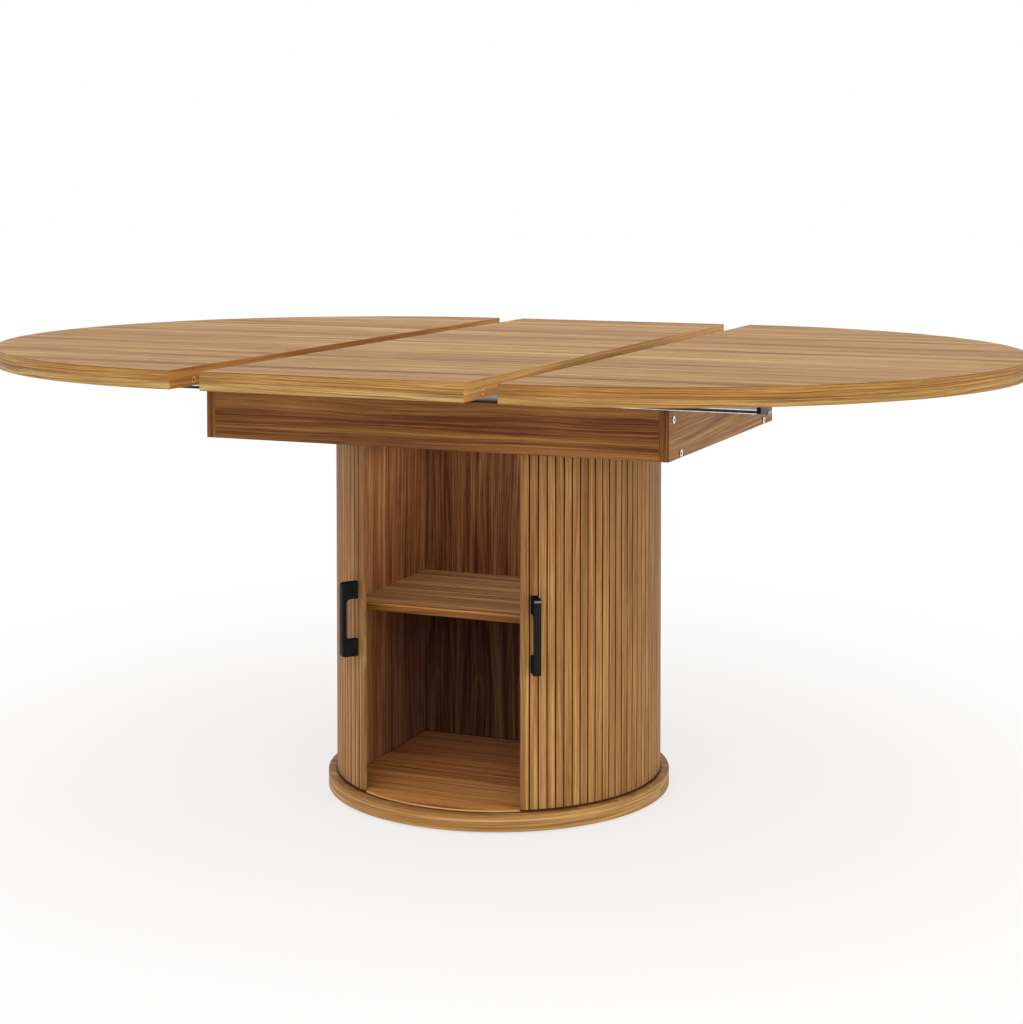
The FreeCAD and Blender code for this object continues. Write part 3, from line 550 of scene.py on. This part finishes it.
# The shelf's front edge has a painted highlight, a pale line where its upper arris starts.
shelfArrisLevel = shelfHigh - shelfLow + (math.pi / 2 - 2) * shelfArris
shelfEdgeWood = woodMaterial(
    "shelfEdgeWood", (7.7, 0.05, 0.41), (0.57, 0.395, 0.265), lines=1.4,
    marks=[mark(shelfArrisLevel, 0.0026, (2.3, 2.6, 2.8))])
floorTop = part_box("floor_panel")[1].z
# The floor panel has painted shade: darker towards the back and along its front edge.
floorWood = woodMaterial(
    "floorWood", (8.9, 0.44, 0.21), (1.34, 1.01, 0.95), lines=1.9, fibres=1.7, level=0.3,
    paintedShades=[paintedShade((0.68, 0.61, 0.74), ("y", -0.16, 0.10)), paintedShade((0.76, 0.70, 0.64), ("y", -0.240, -0.272))])
# Painted contact shadow at the foot of the walls and back, where they meet the floor panel.
floorCornerShadow = paintedShade((0.40, 0.36, 0.36), ("z", floorTop + 0.0025, floorTop + 0.0005))
slatWood = woodMaterial(
    "slatWood", (0.9, 0.13, 0.07), (0.955, 0.93, 0.875), bands=0.35, lines=0.75, fibres=1.3, streaks=0.5,
    veins=0.5, arches=0.35, fine=1.3, toned=0.11)
# The slats' sides and backs are a much darker copy of the slat wood: painted shade in the gaps between slats.
slatSideShadeWood = woodMaterial("slatSideShadeWood", (0.9, 0.13, 0.07), (0.20, 0.15, 0.12), level=-0.2)
leadWood = woodMaterial("leadWood", (1.9, 0.73, 0.17), (0.76, 0.69, 0.69), bands=0.7, level=0.08)
# Painted shade: the bay under the shelf is made darker than the one above, and darkest at the back, as it
# gets less light.
lowerBayShade = ("z", shelfHigh, shelfLow)
wallWood = woodMaterial(
    "wallWood", (0.4, 0.31, 0.27), (1.09, 0.90, 1.04), lines=1.4, fibres=1.9, hue=0.18, arches=0.5,
    paintedShades=[paintedShade((0.60, 0.58, 0.94), lowerBayShade, ("y", -0.12, 0.12)), floorCornerShadow])
backWood = woodMaterial(
    "backWood", (0.7, 0.09, 0.63), (0.62, 0.48, 0.50), lines=1.4, fibres=1.9, hue=0.18, arches=1.2,
    level=-0.12, paintedShades=[paintedShade((0.44, 0.43, 0.53), lowerBayShade), floorCornerShadow])
screenWood = woodMaterial("screenWood", (0.7, 0.09, 0.63), axis="z", lines=1.2)
hiddenWood = woodMaterial("hiddenWood", (0.2, 0.3, 0.1), axis="x")
softwood = woodMaterial("softwood", (0.2, 0.3, 0.1), (1.35, 1.45, 1.6), axis="x", level=0.2)

polish = {"grain": 0.0008, "relief": 0.03}
steelLook = {"colour": (0.78, 0.78, 0.77), "roughness": 0.24, "metallic": 1.0, **polish}
zinc = plainMaterial(
    "zinc", (0.30, 0.305, 0.31), 0.34, metallic=0.95, grain=0.0015, relief=0.05, spread=0.05, mottle=0.05)
brightSteel = plainMaterial("brightSteel", **steelLook)
brassMetal = plainMaterial("brassMetal", (0.95, 0.52, 0.12), 0.5, metallic=0.7, **polish)


# Sockets get painted shade inside, from just behind the mouth.
def socketBrass(node):
    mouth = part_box(node)[1].x
    inside = paintedShade((0.06, 0.03, 0.01), ("x", mouth - 0.0002, mouth - 0.0008))
    return plainMaterial(node + "Brass", (1.0, 0.58, 0.15), 0.45, metallic=0.5, paintedShades=[inside], **polish)


# Bolts get painted shade in the key recesses of either end: behind the face, on that side of the middle.
def recessShade(face, side):
    behind = ("x", face - side * 0.0004, face - side * 0.0009)
    return paintedShade((0.16, 0.17, 0.19), behind, ("x", 0.0, side * 0.1))


socketBrasses = {node: socketBrass(node) for node in ("left_top_sockets", "leaf_sockets")}
boltLow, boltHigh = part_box("apron_bolts")
recesses = [recessShade(boltHigh.x, 1), recessShade(boltLow.x, -1)]
boltSteel = plainMaterial("boltSteel", **steelLook, paintedShades=recesses)
coats = {"grain": 0.0007, "relief": 0.25}
blackCoat = plainMaterial("blackCoat", (0.0095, 0.0100, 0.0100), 0.6, specular=0.0, **coats)
satinCoat = plainMaterial("satinCoat", (0.0036, 0.0038, 0.0040), 0.42, specular=0.13, **coats)
# A painted highlight: lighter grey on the right handle's grip front, just below the top's rounding.
highlightCoat = plainMaterial("highlightCoat", (0.16, 0.16, 0.16), 0.5, specular=0.2, **coats)
# Near-black finish for the painted shade in the runners' rib groove.
grooveShadow = plainMaterial("grooveShadow", (0.035, 0.036, 0.036), 0.5, grain=0.0007, specular=0.15)
# Near-black finish for the painted shadow on the end caps' necks.
neckShadow = plainMaterial("neckShadow", (0.004, 0.004, 0.005), 0.5, grain=0.0007, specular=0.15)
greyPlastic = plainMaterial("greyPlastic", (0.12, 0.122, 0.125), 0.46, grain=0.0006, relief=0.2)
whitePlastic = plainMaterial("whitePlastic", (0.72, 0.71, 0.67), 0.42, grain=0.0008)
darkFelt = plainMaterial("darkFelt", (0.022, 0.021, 0.020), 0.9, grain=0.0009, relief=0.6)
darkNylon = plainMaterial("darkNylon", (0.016, 0.015, 0.014), 0.5, grain=0.0008, specular=0.3)
canvasCloth = plainMaterial(
    "canvasCloth", (0.010, 0.007, 0.005), 0.95, grain=0.0006, relief=0.8, specular=0.1)


panelLow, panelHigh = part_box("right_top_panel")
bandLow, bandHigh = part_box("right_edge_band")
socketLow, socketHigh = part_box("leaf_sockets")
socketRadius = (socketHigh.z - socketLow.z) / 2
topLook = {
    "radius": bandHigh.y,
    "straightEdge": panelLow.x,
    "leafHalf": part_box("leaf_panel")[1].x,
    "low": panelLow.z,
    "high": panelHigh.z,
    "arris": 0.0008,
    "band": 0.0020,
    "arcStep": 0.9,          # degrees
    "holes": 3,
    "holeRadius": socketRadius + 0.00005,
    "holeLevel": (socketHigh.z + socketLow.z) / 2,
    "holeEnds": (socketLow.y + socketRadius, socketHigh.y - socketRadius),
    "holeDepth": 0.0165,
    "patchHalf": 0.009,
    "patchSteps": 8,
}
holePlaces = np.linspace(*topLook["holeEnds"], topLook["holes"])


# The edge band's finish: a thin reddish line where it meets the face above, brown streaks in its
# upper half, and a paler lower half.
def bandMaterial(name, tint):
    arris = topLook["arris"]
    start = topLook["band"] + (math.pi / 2 - 1) * arris
    height = topLook["high"] - topLook["low"] - 2 * arris
    marks = [mark(start + height + math.pi / 4 * arris, 0.0015, srgb(200, 140, 96), 0.7),
             mark(start + 0.70 * height, 0.0012, srgb(196, 150, 120), 0.7, 0.016),
             mark(start + 0.46 * height, 0.0010, srgb(205, 165, 135), 0.5, 0.012),
             mark(start + 0.20 * height, 0.0135, (1.22, 1.46, 1.85), 1.0, 0.006)]
    return woodMaterial(
        name, (4.3, 0.37, 0.0), tint, bands=0.4, lines=1.1, fibres=1.6, fine=1.7, roughness=0.55,
        marks=marks)


edgeBand = bandMaterial("edgeBand", (1.0, 1.05, 0.88))
rightEdgeBand = bandMaterial("rightEdgeBand", (0.875, 0.84, 0.61))


# Places along a straight edge, upwards: each hole has a row of points over its patch.
def edgePlaces():
    offsets = np.linspace(-topLook["patchHalf"], topLook["patchHalf"], topLook["patchSteps"] + 1)
    return (holePlaces[:, None] + offsets[None]).ravel()


# The side's columns that the patches fill, after the given number of columns.
def patchColumns(before):
    steps = topLook["patchSteps"]
    first = before + np.arange(topLook["holes"]) * (steps + 1)
    return (first[:, None] + np.arange(steps)[None]).ravel()


# A flat patch of a straight edge with a round hole: rays run from a rectangle to the circle, which is
# carried into the board and closed. x is the edge, inwards points into the board, and along gives the
# edge's own running length at a y, so that the grain runs on over the patch.
def holeSheets(x, inwards, along):
    look = topLook
    firstLevel = look["low"] + (2 - math.pi / 2) * look["arris"] - look["band"]    # where the grain starts
    steps = look["patchSteps"] + 1
    offsets = np.linspace(look["patchHalf"], -look["patchHalf"], steps)
    outerY = np.concatenate([offsets, offsets[::-1]])
    outerZ = np.repeat([look["high"] - look["arris"], look["low"] + look["arris"]], steps)
    angles = (np.arange(2 * steps) + 0.5) * math.pi / steps
    circleY = look["holeRadius"] * np.cos(angles)
    circleZ = look["holeLevel"] + look["holeRadius"] * np.sin(angles)
    ringX = np.array([[x], [x], [x + inwards * look["holeDepth"]]])
    ringZ = np.stack([outerZ, circleZ, circleZ])
    sheets = []
    for y in holePlaces:
        points = stacked(ringX, y + np.stack([outerY, circleY, circleY]), ringZ)
        grain = stacked(along(points[..., 1]), ringZ - firstLevel)
        sheets.append(gridSheet(points, np.concatenate([grain, grain[:, :1]], 1), 2))
        sheets.append(capSheet(points[2], grain[2], 2))
    return sheets


def halfTop(prefix, side, band, drilled):
    look = topLook
    angles = np.radians(np.arange(-90.0, 90.0 + look["arcStep"] / 2, look["arcStep"]))
    arc = stacked(look["straightEdge"] + look["radius"] * np.cos(angles), look["radius"] * np.sin(angles))
    outline = np.concatenate([arc, stacked(look["straightEdge"], edgePlaces()[::-1])])
    outline[:, 0] *= side
    kinds = np.where(np.arange(len(outline)) < len(arc) - 1, 1, 2)
    sheets = plateSheets(outline, look["low"], look["high"], look["arris"], stacked, kinds, 0, look["band"],
                         skip=patchColumns(len(arc)) if drilled else ())
    if drilled:
        bottom = runningLength(outline)[-1] - look["radius"]
        sheets += holeSheets(side * look["straightEdge"], side, lambda y: bottom - y)
    buildPiece(prefix + "Top", sheets, [topWood, band, straightEdgeWood], prefix + "_top",
               [prefix + "_top_panel", prefix + "_edge_band"])


def leafTop():
    look = topLook
    half, reach = look["leafHalf"], look["radius"]
    outline = np.concatenate([[[-half, -reach], [half, -reach]], stacked(half, edgePlaces()),
                              [[half, reach], [-half, reach]]])
    kinds = np.full(len(outline), 2)
    kinds[[0, -2]] = 1
    sheets = plateSheets(outline, look["low"], look["high"], look["arris"], stacked, kinds, 0, look["band"],
                         skip=patchColumns(2))
    sheets += holeSheets(half, -1, lambda y: 2 * half + reach + y)
    buildPiece("leafTop", sheets, [topWood, edgeBand, litLeafEdgeWood], "leaf",
               ["leaf_panel", "leaf_edge_bands"])


halfTop("left", -1, edgeBand, True)
halfTop("right", 1, rightEdgeBand, False)
leafTop()
print("table top made")


# A board fills its CAD node's box, with soft arrises. Its outline lies in its two longer
# directions; grainAxis is 0, 1 or 2 for x, y or z.
def boardPiece(name, node, materials, grainAxis, arris=0.0007, sideKinds=0, shift=(0.0, 0.0)):
    low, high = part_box(node)
    thin = int(np.argmin(high - low))
    a, b = [axis for axis in range(3) if axis != thin]
    order = np.argsort([a, b, thin])
    outline = np.array([(low[a], low[b]), (high[a], low[b]), (high[a], high[b]), (low[a], high[b])])
    sheets = plateSheets(outline, low[thin], high[thin], arris, lambda *parts: stacked(*parts)[..., order],
                         sideKinds, grainTurn=grainAxis == b, arcSteps=2, shift=shift)
    buildPiece(name, sheets, materials, "pedestal", [node])


boardPiece("apronFront", "apron_front", [apronWood], 0)
boardPiece("apronBack", "apron_back", [apronWood], 0, shift=(1.3, 0.4))
for prefix, shift in (("Left", (0.0, 0.0)), ("Right", (0.7, 0.0))):
    boardPiece("apron" + prefix, "apron_" + prefix.lower(),
               [apronEndWood, stripWoods[prefix]], 1, sideKinds=[0, 1, 0, 1], shift=shift)
    boardPiece("cabinetSide" + prefix, "cabinet_side_" + prefix.lower(), [wallWood], 2,
               shift=shift)
boardPiece("cabinetBack", "cabinet_back", [backWood], 2)
boardPiece("shelfBoard", "shelf", [shelfWood, shelfEdgeWood], 0, shelfArris, [1, 0, 0, 0])
print("boards made")


baseLow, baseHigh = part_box("base_disc")
floorLow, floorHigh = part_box("floor_panel")
baseLook = {
    "radius": baseHigh.x,
    "low": baseLow.z,
    "high": baseHigh.z,
    "topRound": 0.002,
    "lowRound": 0.0015,
    "grooveMiddle": 0.27945,
    "grooveHalf": 0.0016,
    "grooveDepth": 0.006,
    "paleLine": 0.009,       # below the top
}
floorLook = {"radius": floorHigh.x, "low": floorLow.z, "high": floorHigh.z, "arris": 0.0008}
# Grain level at the foot of the rim's wall, and the wall's height up to the top.
wallStart = baseLook["radius"] + (math.pi / 2 - 1) * baseLook["lowRound"]
wallHeight = baseLook["high"] - baseLook["low"] - baseLook["lowRound"]
paleLine = mark(wallStart + wallHeight - baseLook["paleLine"], 0.0026, (1.4, 1.6, 2.1), 0.9)
rimWood = woodMaterial(
    "rimWood", (2.9, 0.51, 0.11), (0.94, 0.93, 0.87), bands=0.75, lines=1.1, level=0.02, marks=[paleLine])
# The floor panel's rim has painted light: a pale painted highlight in the opening and painted shadow under
# the doors.
openingY = -floorLook["radius"] * math.cos(math.radians(doorLook["opening"]))
floorRimPaintedLight = woodMaterial(
    "floorRimPaintedLight", (2.4, 0.2, 0.3), (1.6, 1.65, 1.9), bands=0.4, level=0.25,
    paintedShades=[paintedShade((0.06, 0.04, 0.03), ("y", openingY - 0.0004, openingY + 0.0004))])


def quarterRound(radius, level, size, steps, start, end):  # points of a quarter circle, angles in degrees
    angles = np.radians(np.linspace(start, end, steps + 1))
    return [(radius + size * math.cos(a), level + size * math.sin(a)) for a in angles]


def baseDisc():
    look = baseLook
    radius, low, high, deep = look["radius"], look["low"], look["high"], look["high"] - look["grooveDepth"]
    inner, outer = [look["grooveMiddle"] + way * look["grooveHalf"] for way in (-1, 1)]
    profile = [(0.0, low)]
    profile += quarterRound(radius - look["lowRound"], low + look["lowRound"], look["lowRound"], 3, -90, 0)
    profile += quarterRound(radius - look["topRound"], high - look["topRound"], look["topRound"], 8, 0, 90)
    rimRows = len(profile) - 1
    profile += [(outer, high), (outer, deep), (inner, deep), (inner, high), (0.0, high)]
    rows = np.arange(len(profile) - 1)
    flat = (rows == 0) | (rows >= rimRows)
    sheets = turnedSheets(profile, np.where(flat, 1, 0), rows[flat])
    buildPiece("baseDisc", sheets, [rimWood, baseTopWood], "pedestal", ["base_disc"])


def floorPanel():
    look = floorLook
    radius, low, high, arris = look["radius"], look["low"], look["high"], look["arris"]
    profile = [(0.0, low), (radius, low)] + quarterRound(radius - arris, high - arris, arris, 4, 0, 90)
    profile += [(0.0, high)]
    kinds = np.zeros(len(profile) - 1, int)
    kinds[[0, -1]] = 1
    sheets = turnedSheets(profile, kinds, [0, len(kinds) - 1])
    buildPiece("floorPanel", sheets, [floorRimPaintedLight, floorWood], "pedestal", ["floor_panel"])


baseDisc()
floorPanel()
print("base made")


slatStart = doorLook["opening"] + doorLook["lead"] + doorLook["narrow"]    # of the first full slat
slatPitch = (doorLook["tail"] - slatStart) / doorLook["slats"]


# Outward and sideways directions at an angle from the front.
def directions(degrees):
    turn = math.radians(degrees)
    return np.array([math.sin(turn), -math.cos(turn)]), np.array([math.cos(turn), math.sin(turn)])


# A slat: a flat stick whose sides taper towards the canvas, with rounded outer arrises. Its section
# (across, out from the doors' circle) is turned to its place and carried up the door. Its outer face
# and arrises have the first material, the rest the second, which on the slats is a painted shade.
def slatSheets(start, end, thickness, arrises, tone):
    look = doorLook
    middle = (start + end) / 2
    half = look["radius"] * math.tan(math.radians((end - start) / 2))
    back = half * (look["radius"] - thickness) / look["radius"]
    section = roundedOutline([(-back, -thickness, 0), (back, -thickness, 0),
                              (half, 0.0, arrises[1]), (-half, 0.0, arrises[0])], look["arrisStep"])
    out, aside = directions(middle)
    flat = (look["radius"] + section[:, 1:]) * out + section[:, :1] * aside
    levels = np.array([[look["low"]], [look["high"]]])
    points = stacked(flat[:, 0], flat[:, 1], levels)
    across = np.append(section[:, 0], section[0, 0]) + math.radians(middle) * look["radius"]
    # inside are the faces that reach deeper than an arris can
    inside = np.minimum(section[:, 1], np.roll(section[:, 1], -1)) <= -1.01 * max(arrises)
    ends = [capSheet(ring, section, 0, tone) for ring in points]
    return [gridSheet(points, stacked(levels, across), inside.astype(int), tone)] + ends


def tambourDoor(prefix, side, seed):
    look = doorLook
    body, arris, thickness = prefix + "_door", look["arris"], look["thickness"]
    tones = np.random.default_rng(seed).uniform(0.0, 1.0, look["slats"] + 1)
    gap = math.degrees(look["gap"] / 2 / look["radius"])
    leadEnd = look["opening"] + look["lead"]
    sheets = slatSheets(leadEnd, slatStart - gap, thickness, (0.0, arris), tones[-1])
    for i in range(look["slats"]):
        start = slatStart + i * slatPitch
        sheets += slatSheets(start + gap, start + slatPitch - gap, thickness, (arris, arris), tones[i])
    buildPiece(prefix + "Slats", mirrored(sheets, side), [slatWood, slatSideShadeWood], body,
               [prefix + "_door_slats"])
    lead = slatSheets(look["opening"], leadEnd, thickness + look["backing"], look["leadArrises"], 0.5)
    buildPiece(prefix + "Lead", mirrored(lead, side), [leadWood, leadWood], body,
               [prefix + "_lead_strip"])


tambourDoor("right", 1, doorLook["seed"])
tambourDoor("left", -1, doorLook["seed"] + 1)
print("doors made")


handleLow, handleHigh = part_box("right_handle")
handleLook = {
    "angle": 34.495,         # degrees: the middle of the first full slat
    "length": handleHigh.z - handleLow.z,
    "middle": (handleHigh.z + handleLow.z) / 2,
    "width": 0.012,
    "reach": 0.030,
    "grip": 0.009,
    "foot": 0.029,
    "round": 0.0062,
    "roundStep": 9.0,        # degrees
    "arris": 0.0020,
    "frontDepth": 0.0015,    # how far back from the grip's front its satin coat reaches
    "paintedHighlight": (0.0033, 0.0064),    # a painted highlight, this far below the top, on the right handle
}


def pullHandle(prefix, side):
    look = handleLook
    out, aside = directions(look["angle"] * side)
    reach, bend, top = look["reach"], look["round"], look["length"] / 2
    inside, grip = top - look["foot"], reach - look["grip"]
    outline = roundedOutline([
        (0, -top, 0), (reach, -top, bend), (reach, top, bend), (0, top, 0),
        (0, inside, 0), (grip, inside, bend), (grip, -inside, bend), (0, -inside, 0)], look["roundStep"])

    def place(outwards, height, level):
        x, y = [(doorLook["radius"] + outwards) * out[i] + level * aside[i] for i in (0, 1)]
        return stacked(x, y, look["middle"] + height)

    middles = (outline + np.roll(outline, -1, 0)) / 2
    below = top - middles[:, 1]
    front = middles[:, 0] > reach - look["frontDepth"]
    # Painted highlight band on the right handle's grip front, just below the top's rounding.
    paintedHighlight = front & (below > look["paintedHighlight"][0]) & (below < look["paintedHighlight"][1]) & (side > 0)
    sheets = plateSheets(outline, -look["width"] / 2, look["width"] / 2, look["arris"], place,
                         np.where(paintedHighlight, 2, np.where(front, 1, 0)), arcSteps=4)
    buildPiece(prefix + "Handle", sheets, [blackCoat, satinCoat, highlightCoat], prefix + "_door",
               [prefix + "_handle"])


pullHandle("right", 1)
pullHandle("left", -1)
print("handles made")


runnerLow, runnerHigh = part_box("right_runner_front")
capLow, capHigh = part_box("right_end_caps")
slideLook = {
    "start": runnerLow.x,
    "webEnd": capLow.x,
    "end": runnerHigh.x,
    "low": runnerLow.z,
    "high": runnerHigh.z,
    "front": runnerLow.y,
    "width": runnerHigh.y - runnerLow.y,
    "wall": 0.002,
    "lip": 0.010,
    "bend": 0.0022,
    "bendInside": 0.0003,
    "bendStep": 22.0,        # degrees
    "edge": 0.0004,          # rounding of the sheet's cut edges
    "rib": 0.0012,
    "ribLow": 0.0013,
    "ribHigh": 0.0054,
    "ribRound": 0.0006,
    "ribFoot": 0.0002,
    "ribSlope": 0.0004,
    "shine": 0.0014,         # painted highlight line above the groove
    "face": 0.0007,          # what lies no further in than this is the front
    "tongue": 0.001,
    "tongueArris": 0.0002,
    "turnUp": 0.006,
    "neck": 0.006,           # the end caps' part inside the channel, painted in shadow up to neckEnd past it
    "neckEnd": 0.0003,
    "waist": 0.0022,
    "neckRounds": (0.0006, 0.0014),
    "capRounds": (0.0035, 0.0010),
    "capArris": 0.0008,
    "capStep": 15.0,         # degrees
}


# Section of the rolled channel in y and z: a web on the outer side, two flanges and their lips,
# bent round the wall's thickness, with a shallow rib low on the web.
def channelOutline():
    look = slideLook
    y0, y1, z0, z1 = look["front"], look["front"] + look["width"], look["low"], look["high"]
    w, lip, bend, inner, edge = look["wall"], look["lip"], look["bend"], look["bendInside"], look["edge"]
    ribY, ribLow, ribHigh = y0 + look["rib"], z0 + look["ribLow"], z0 + look["ribHigh"]
    slope, foot = look["ribSlope"], look["ribFoot"]
    return roundedOutline([
        (y0, z0, edge), (y1, z0, bend), (y1, z0 + lip, edge), (y1 - w, z0 + lip, edge),
        (y1 - w, z0 + w, inner), (y0 + w, z0 + w, inner), (y0 + w, z1 - w, inner), (y1 - w, z1 - w, inner),
        (y1 - w, z1 - lip, edge), (y1, z1 - lip, edge), (y1, z1, bend), (y0, z1, bend),
        (y0, ribHigh + look["shine"], 0), (y0, ribHigh, look["ribRound"]),
        (ribY, ribHigh - slope, foot), (ribY, ribLow + slope, foot), (y0, ribLow, edge)], look["bendStep"])


# The channel's faces have painted shade in the rib's groove, and painted highlights below it and in a line
# above it.
def slideRunner(prefix, side, end, across):
    look = slideLook
    section = channelOutline()
    middle = (section[:, 1] + np.roll(section[:, 1], -1)) / 2 - look["low"]
    inset = np.maximum(section[:, 0], np.roll(section[:, 0], -1)) - look["front"]
    sunk = (inset > meshLook["touch"]) & (inset < look["wall"] - meshLook["touch"])
    inGroove = sunk & (middle > look["ribLow"]) & (middle < look["ribHigh"])
    aboveRib = np.abs(middle - look["ribHigh"] - look["shine"] / 2) < 0.4 * look["shine"]
    highlighted = (inset < look["face"]) & ((middle < look["ribLow"]) | aboveRib)
    kinds = np.where(inGroove, 1, np.where(highlighted, 2, 0))
    sheets = extrudedSheets(section, look["start"], look["webEnd"], kinds)
    x0, x1, z0, y0 = look["webEnd"], look["end"], look["low"], look["front"]
    thick, rise = look["tongue"], look["turnUp"]
    foot = np.array([(x0, z0), (x1, z0), (x1, z0 + rise), (x1 - thick, z0 + rise), (x1 - thick, z0 + thick),
                     (x0, z0 + thick)])
    sheets += plateSheets(foot, y0, y0 + look["width"], look["tongueArris"],
                          lambda a, b, level: stacked(a, level, b), faceKind=3, arcSteps=1)
    materials = [zinc, grooveShadow, brightSteel, greyPlastic]
    buildPiece(prefix + "Runner" + end, mirrored(sheets, side, across), materials, prefix + "_top",
               [prefix + "_runner_" + end.lower()])


def endCaps(prefix, side):
    look = slideLook
    y0, y1 = look["front"], look["front"] + look["width"]
    x0, x1 = look["webEnd"], look["end"] - look["tongue"]
    neck, waist = x0 + look["neck"], y0 + look["waist"]
    outline = roundedOutline([
        (x0, waist, 0), (neck, waist, look["neckRounds"][0]), (neck, y0, look["neckRounds"][1]),
        (x1, y0, look["capRounds"][0]), (x1, y1, look["capRounds"][1]), (x0, y1, 0)], look["capStep"])
    # The neck is painted near black, a painted shadow in the channel.
    onNeck = np.maximum(outline[:, 0], np.roll(outline[:, 0], -1)) < neck + look["neckEnd"]
    block = plateSheets(outline, look["low"] + look["tongue"], look["high"], look["capArris"], stacked,
                        np.where(onNeck, 1, 0), arcSteps=2)
    sheets = mirrored(block, side) + mirrored(block, side, -1)
    buildPiece(prefix + "EndCaps", sheets, [greyPlastic, neckShadow], prefix + "_top",
               [prefix + "_end_caps"])


for prefix, side in (("left", -1), ("right", 1)):
    slideRunner(prefix, side, "Front", 1)
    slideRunner(prefix, side, "Back", -1)
    endCaps(prefix, side)
print("slides made")


# CAD nodes that stay as they are, by their finishes.
keptFinishes = (
    (screenWood, "rear_screen"), (hiddenWood, "apron_bottom"),
    (softwood, "batten_front", "batten_back", "leaf_bearers", "apron_dowels"),
    (zinc, "fixed_rail_front", "fixed_rail_back"), (whitePlastic, "rail_sliders"), (boltSteel, "apron_bolts"),
    (brightSteel, "rail_screws", "carcass_screws", "shelf_pins", "left_runner_screws", "right_runner_screws",
     "left_handle_screws", "right_handle_screws"),
    (darkNylon, "left_guide_pins", "right_guide_pins"), (darkFelt, "base_glides"),
    (canvasCloth, "left_door_canvas", "right_door_canvas"), (brassMetal, "leaf_pins", "right_top_pins"),
    *[(brass, node) for node, brass in socketBrasses.items()])
for material, *nodes in keptFinishes:
    for node in nodes:
        for holder in cadNodes[node].material_slots:
            holder.material = material
print("CAD nodes dressed in", len(keptFinishes), "finishes")


studio = {
    "floorHalf": 30.0,
    "floorColour": (0.34, 0.34, 0.34),
    "floorGlow": 0.61,
    "worldColour": (1.0, 1.0, 1.0, 1.0),
    "worldStrength": 1.0,
    "sunStrength": 1.1,
    "sunAngle": 50.0,
    "sunHeight": 27.0,       # degrees above level
    "sunTurn": 14.0,         # degrees from the front towards +x
    "lamps": {               # place, target, size, power
        "keyRight": ((3.8, -2.0, 0.95), (0.0, 0.0, 0.5), (2.2, 1.2), 30.0),
        "cabinetTop": ((0.0, -0.02, 0.6), (0.0, -0.02, 0.0), (0.32, 0.22), 0.4),
    },
    "cameraPlace": (1.3834, -3.2595, 1.0508),
    "cameraPitch": -2.408,   # degrees, below level
    "cameraTurn": 22.432,
    "camera": {"lens": 71.828, "sensor_width": 36.0, "shift_x": -0.00733, "shift_y": -0.24,
               "clip_end": 100.0},
}


def addObject(name, data):
    item = bpy.data.objects.new(name, data)
    bpy.context.scene.collection.objects.link(item)
    return item


def makeFloor():
    half = studio["floorHalf"]
    mesh = bpy.data.meshes.new("studioFloor")
    corners = [(-half, -half, 0), (half, -half, 0), (half, half, 0), (-half, half, 0)]
    mesh.from_pydata(corners, [], [[0, 1, 2, 3]])
    material, tree, shader = newMaterial("paleFloor")
    for key, value in (("Base Color", (*studio["floorColour"], 1.0)), ("Roughness", 0.9),
                       ("Specular IOR Level", 0.1), ("Emission Color", (1.0, 1.0, 1.0, 1.0)),
                       ("Emission Strength", studio["floorGlow"])):
        setInput(tree, shader, key, value)
    mesh.materials.append(material)
    addObject("studioFloor", mesh)


def areaLight(name, place, target, size, power):
    data = bpy.data.lights.new(name, "AREA")
    data.shape = "RECTANGLE"
    data.size, data.size_y = size
    data.energy = power
    light = addObject(name, data)
    light.location = place
    aim = unit(np.subtract(target, place))
    light.rotation_euler = (math.acos(-aim[2]), 0.0, math.atan2(-aim[0], aim[1]))
    light.visible_camera = False


def makeStudio():
    makeFloor()
    for name, values in studio["lamps"].items():
        areaLight(name, *values)
    sun = bpy.data.lights.new("frontSun", "SUN")
    sun.energy = studio["sunStrength"]
    sun.angle = math.radians(studio["sunAngle"])
    height, turn = math.radians(90 - studio["sunHeight"]), math.radians(studio["sunTurn"])
    addObject("frontSun", sun).rotation_euler = (height, 0.0, turn)
    world = bpy.data.worlds.new("studioWorld")
    bpy.context.scene.world = world
    world.use_nodes = True
    sky = world.node_tree.nodes["Background"]
    sky.inputs["Color"].default_value = studio["worldColour"]
    sky.inputs["Strength"].default_value = studio["worldStrength"]


def makeCamera():
    camera = addObject("studioCamera", bpy.data.cameras.new("studioCamera"))
    camera.location = studio["cameraPlace"]
    pitch, turn = math.radians(90 + studio["cameraPitch"]), math.radians(studio["cameraTurn"])
    camera.rotation_euler = (pitch, 0.0, turn)
    for key, value in studio["camera"].items():
        setattr(camera.data, key, value)
    bpy.context.scene.camera = camera


makeStudio()
makeCamera()
bpy.context.scene.view_settings.view_transform = "Standard"
print("studio made")
